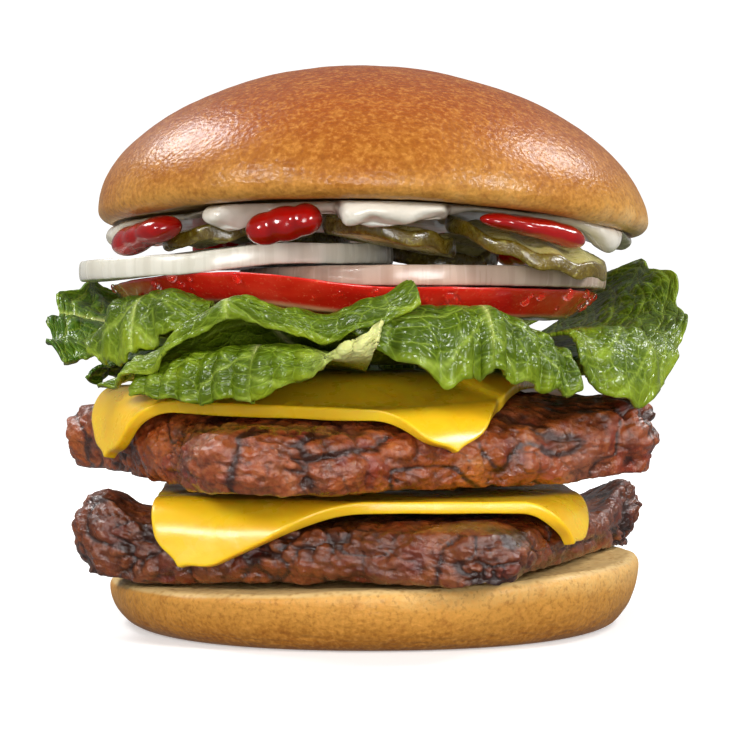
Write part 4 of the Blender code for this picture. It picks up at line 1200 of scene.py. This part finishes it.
def ketchup_dollop(node, dollop, material):
    """Round lobes that run into one another, bent round the burger under the crown."""
    shape = bmesh.new()
    for across, up, size in dollop["lobes"]:
        stretch = Matrix.Diagonal((size, 1.0, 0.55 + 0.45 * size, 1.0))
        place = Matrix.Translation((across, 0.0, up * 0.5)) @ stretch
        bmesh.ops.create_icosphere(shape, subdivisions=4, radius=1.0, matrix=place)
    mesh = bpy.data.meshes.new(node)
    shape.to_mesh(mesh)
    shape.free()
    mesh = bake(
        mesh,
        ("REMESH", dict(mode="VOXEL", voxel_size=0.045)),
        ("SMOOTH", dict(factor=0.5, iterations=30)),
    )
    points = points_of(mesh)
    points /= np.abs(points).max(0)
    middle = math.radians(dollop["angle"])
    angle = middle + 0.5 * dollop["width"] * points[:, 0] / dollop["out"]
    radius = MM * (dollop["out"] - 0.5 * dollop["depth"] * points[:, 1])
    x, y = radius * np.cos(angle), radius * np.sin(angle)
    top = crown_base(x, y) - GAP - MM * dollop["drop"]
    half = 0.5 * MM * dollop["height"] * (1.0 + dollop["slant"] * points[:, 0])
    z = top - half * (1.0 - points[:, 2])
    set_points(mesh, np.stack([x, y, z], -1))
    mesh.flip_normals()
    mesh = bake(mesh, ("SMOOTH", dict(factor=0.5, iterations=4)))
    push_out(mesh, 0.12 * MM * soft_noise(points_of(mesh), 4 * MM, 5))
    return add_piece(node + "_dollop", mesh, material, node)


DROPLETS = 52
DROPLET_REACH = 90.0 * MM  # a ray from here towards the slice finds its skin


def droplets(tomato, material):
    """Beads of water on the tomato's skin, each a low dome that sits on the slice's rim."""
    skin = tomato.data
    surface = BVHTree.FromPolygons([v.co for v in skin.vertices], [p.vertices for p in skin.polygons])
    low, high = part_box("tomato_slice")
    middle = (low + high) / 2
    shape = bmesh.new()
    for _ in range(DROPLETS):
        direction = rng.uniform(0.0, 2 * math.pi)
        level = rng.uniform(0.35, 0.95)
        size = MM * (0.50 + 0.85 * rng.random() ** 1.3)
        way = Vector((math.cos(direction), math.sin(direction), 0.0))
        start = middle + way * DROPLET_REACH
        top = tomato_top(start.x * 0.6, start.y * 0.6)
        start.z = top - TOMATO_THICKNESS * (1.0 - level)
        hit, normal, _, _ = surface.ray_cast(start, -way)
        if hit is None:
            continue
        aim = normal.to_track_quat("Z", "Y").to_matrix().to_4x4()
        stretch = Matrix.Diagonal((size, size * rng.uniform(1.0, 1.3), size * 0.85, 1.0))
        place = Matrix.Translation(hit + normal * size * 0.08) @ aim @ stretch
        bmesh.ops.create_uvsphere(shape, u_segments=20, v_segments=14, radius=1.0, matrix=place)
    mesh = bpy.data.meshes.new("droplets")
    shape.to_mesh(mesh)
    shape.free()
    return add_piece("water_droplets", mesh, material)


# The burger -------------------------------------------------------------------------------


# The dark, middle and light shade of each kind of leaf.
GREENS = {
    "bright": (colour(40, 60, 3), colour(88, 110, 9), colour(158, 174, 30)),
    "middle": (colour(32, 50, 2), colour(72, 94, 7), colour(136, 154, 24)),
    "deep": (colour(30, 58, 6), colour(62, 96, 12), colour(122, 152, 34)),
}


def build_burger():
    crown_low, crown_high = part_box("bun_crown")
    heel_low, heel_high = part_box("bun_heel")
    crumb = colour(222, 188, 126)
    crown_crust = crust_look(
        "crown_crust",
        crown_low.z,
        crown_high.z,
        (
            (0.0, colour(222, 182, 118)),
            (0.10, colour(188, 136, 62)),
            (0.26, colour(164, 102, 32)),
            (0.55, colour(154, 78, 17)),
            (1.0, colour(148, 64, 9)),
        ),
        crumb,
        0.34,
    )
    heel_crust = crust_look(
        "heel_crust",
        heel_low.z,
        heel_high.z,
        (
            (0.0, colour(166, 100, 32)),
            (0.3, colour(184, 124, 48)),
            (0.62, colour(200, 144, 66)),
            (0.82, colour(222, 176, 104)),
            (1.0, colour(230, 190, 122)),
        ),
        crumb,
        0.05,
    )
    crown_bun(crown_crust)
    heel_bun(heel_crust)

    patty("beef_lower", "patty_lower", meat_look("beef_dark", 0.62), LOWER_PATTY, 3)
    patty("beef_upper", "patty_upper", meat_look("beef_brown", 1.0), UPPER_PATTY, 11)

    melted = cheese_look()
    cheese("cheese_slice_lower", "cheese_lower", melted, 2.6, (-1.4 * MM, -6.2 * MM), LOWER_PATTY)
    cheese("cheese_slice_upper", "cheese_upper", melted, -18.3, (-8.8 * MM, -1.0 * MM), UPPER_PATTY)

    greens = {name: lettuce_look("lettuce_" + name, *shades) for name, shades in GREENS.items()}
    for seed, (node, leaf) in enumerate(LEAVES.items(), start=1):
        lettuce_leaf(node, leaf, greens, seed)
    lettuce_heart(greens["bright"])

    tomato = tomato_slice(tomato_look())
    white = onion_look("onion_white", colour(226, 222, 208), colour(204, 198, 180))
    rosy = onion_look("onion_rosy", colour(198, 176, 158), colour(172, 146, 128))
    onion_slice("onion_right", ONION_RADIUS, RIGHT_ONION_CENTRE, right_onion_bed, rosy, 3)
    onion_slice("onion_left", LEFT_ONION_RADIUS, LEFT_ONION_CENTRE, left_onion_bed, white, 8)
    brined = pickle_look()
    for seed, (node, chip) in enumerate(PICKLES.items(), start=1):
        pickle_chip(node, chip, brined, seed)

    cream = sauce_look("mayonnaise", ((0.3, colour(208, 200, 184)), (0.7, colour(226, 220, 208))),
                       (1.0, 0.9, 0.75), 0.16, 0.0008, 0.4)
    red_sauce = sauce_look("ketchup", ((0.3, colour(134, 3, 2)), (0.7, colour(162, 7, 4))),
                           (1.0, 0.15, 0.08), 0.12, 0.0003, 0.30)
    mayonnaise(cream)
    for node, dollop in KETCHUP.items():
        ketchup_dollop(node, dollop, red_sauce)
    droplets(tomato, water_look())


# Studio -----------------------------------------------------------------------------------

CAMERA_DISTANCE = 0.480
CAMERA_HEIGHT = 0.0598
FOCAL_LENGTH = 36.0 * 2208.0 / 744.0  # mm, on a sensor 36 mm wide
CAMERA_PITCH = math.atan(27.0 / 2208.0)
FLOOR_RADIUS = 1.5
FLOOR_BEND = 0.9
WALL_HEIGHT = 1.5
FLOOR_STEPS = 128
LAMP_AIM = (0.0, 0.0, 0.065)

# Each lamp: its place, the width of its disc, and its power in watts.
LAMPS = {
    "key_left": ((-0.50, -0.50, 0.36), 0.18, 2.7),
    "key_right": ((0.55, -0.40, 0.34), 0.16, 2.8),
    "front_fill": ((0.05, -0.95, 0.24), 0.50, 1.9),
    "low_fill": ((0.0, -0.85, 0.06), 0.36, 3.4),
    "rim_left": ((-0.46, 0.30, 0.60), 0.30, 3.6),
    "rim_right": ((0.50, 0.22, 0.58), 0.26, 2.9),
}


def add_camera():
    data = bpy.data.cameras.new("camera")
    data.sensor_width = 36.0
    data.lens = FOCAL_LENGTH
    camera = add_object("camera", data)
    camera.location = (0.0, -CAMERA_DISTANCE, CAMERA_HEIGHT)
    camera.rotation_euler = (math.pi / 2 - CAMERA_PITCH, 0.0, 0.0)
    bpy.context.scene.camera = camera


def add_light(name, place, size, power):
    data = bpy.data.lights.new(name, "AREA")
    data.shape = "DISK"
    data.size = size
    data.energy = power
    light = add_object(name, data)
    light.location = place
    light.rotation_euler = (Vector(LAMP_AIM) - Vector(place)).to_track_quat("-Z", "Y").to_euler()


def add_studio():
    world = bpy.data.worlds.new("studio")
    world.use_nodes = True
    background = world.node_tree.nodes["Background"]
    background.inputs["Color"].default_value = (1.0, 1.0, 1.0, 1.0)
    background.inputs["Strength"].default_value = 0.25
    bpy.context.scene.world = world
    bpy.context.scene.view_settings.view_transform = "Standard"

    # The floor is a wide bowl: flat under the burger, and curved up into a wall all round it.
    bend = np.linspace(0.0, math.pi / 2, 24)
    curve = np.stack([FLOOR_RADIUS + FLOOR_BEND * np.sin(bend), FLOOR_BEND * (1.0 - np.cos(bend))], -1)
    flat = np.stack([np.linspace(0.02, FLOOR_RADIUS, 12)[:-1], np.zeros(11)], -1)
    wall = np.array([[FLOOR_RADIUS + FLOOR_BEND, WALL_HEIGHT]])
    rings = turned(np.vstack([flat, curve, wall]), FLOOR_STEPS)
    faces = quads_between(len(rings), FLOOR_STEPS, True) + [list(range(FLOOR_STEPS))]
    mesh = mesh_from("floor", rings.reshape(-1, 3), faces)
    mesh.shade_smooth()
    floor = add_object("floor", mesh)
    floor.location.z = -0.05 * MM
    look = Look("floor", Roughness=0.8, Emission_Color=(1.0, 1.0, 1.0, 1.0))
    # The floor's glow grows away from the burger, which leaves a soft shadow under it.
    away = look.node("ShaderNodeVectorMath", {0: look.place}, operation="LENGTH")
    look.to_shader("Emission Strength", look.span(away.outputs["Value"], 0.07, 0.40, 0.35, 0.85))
    shade = look.span(look.noise(0.4), 0.3, 0.7, 0.78, 0.80)
    look.to_shader("Base Color", look.ramp(shade, (0.0, (0.0, 0.0, 0.0, 1.0)), (1.0, (1.0, 1.0, 1.0, 1.0))))
    mesh.materials.append(look.material)
    # The food is lit by the lamps and the soft sky alone, so that the pale floor doesn't wash it out.
    floor.visible_glossy = False
    floor.visible_diffuse = False

    for name, lamp in LAMPS.items():
        add_light(name, *lamp)


build_burger()
add_camera()
add_studio()
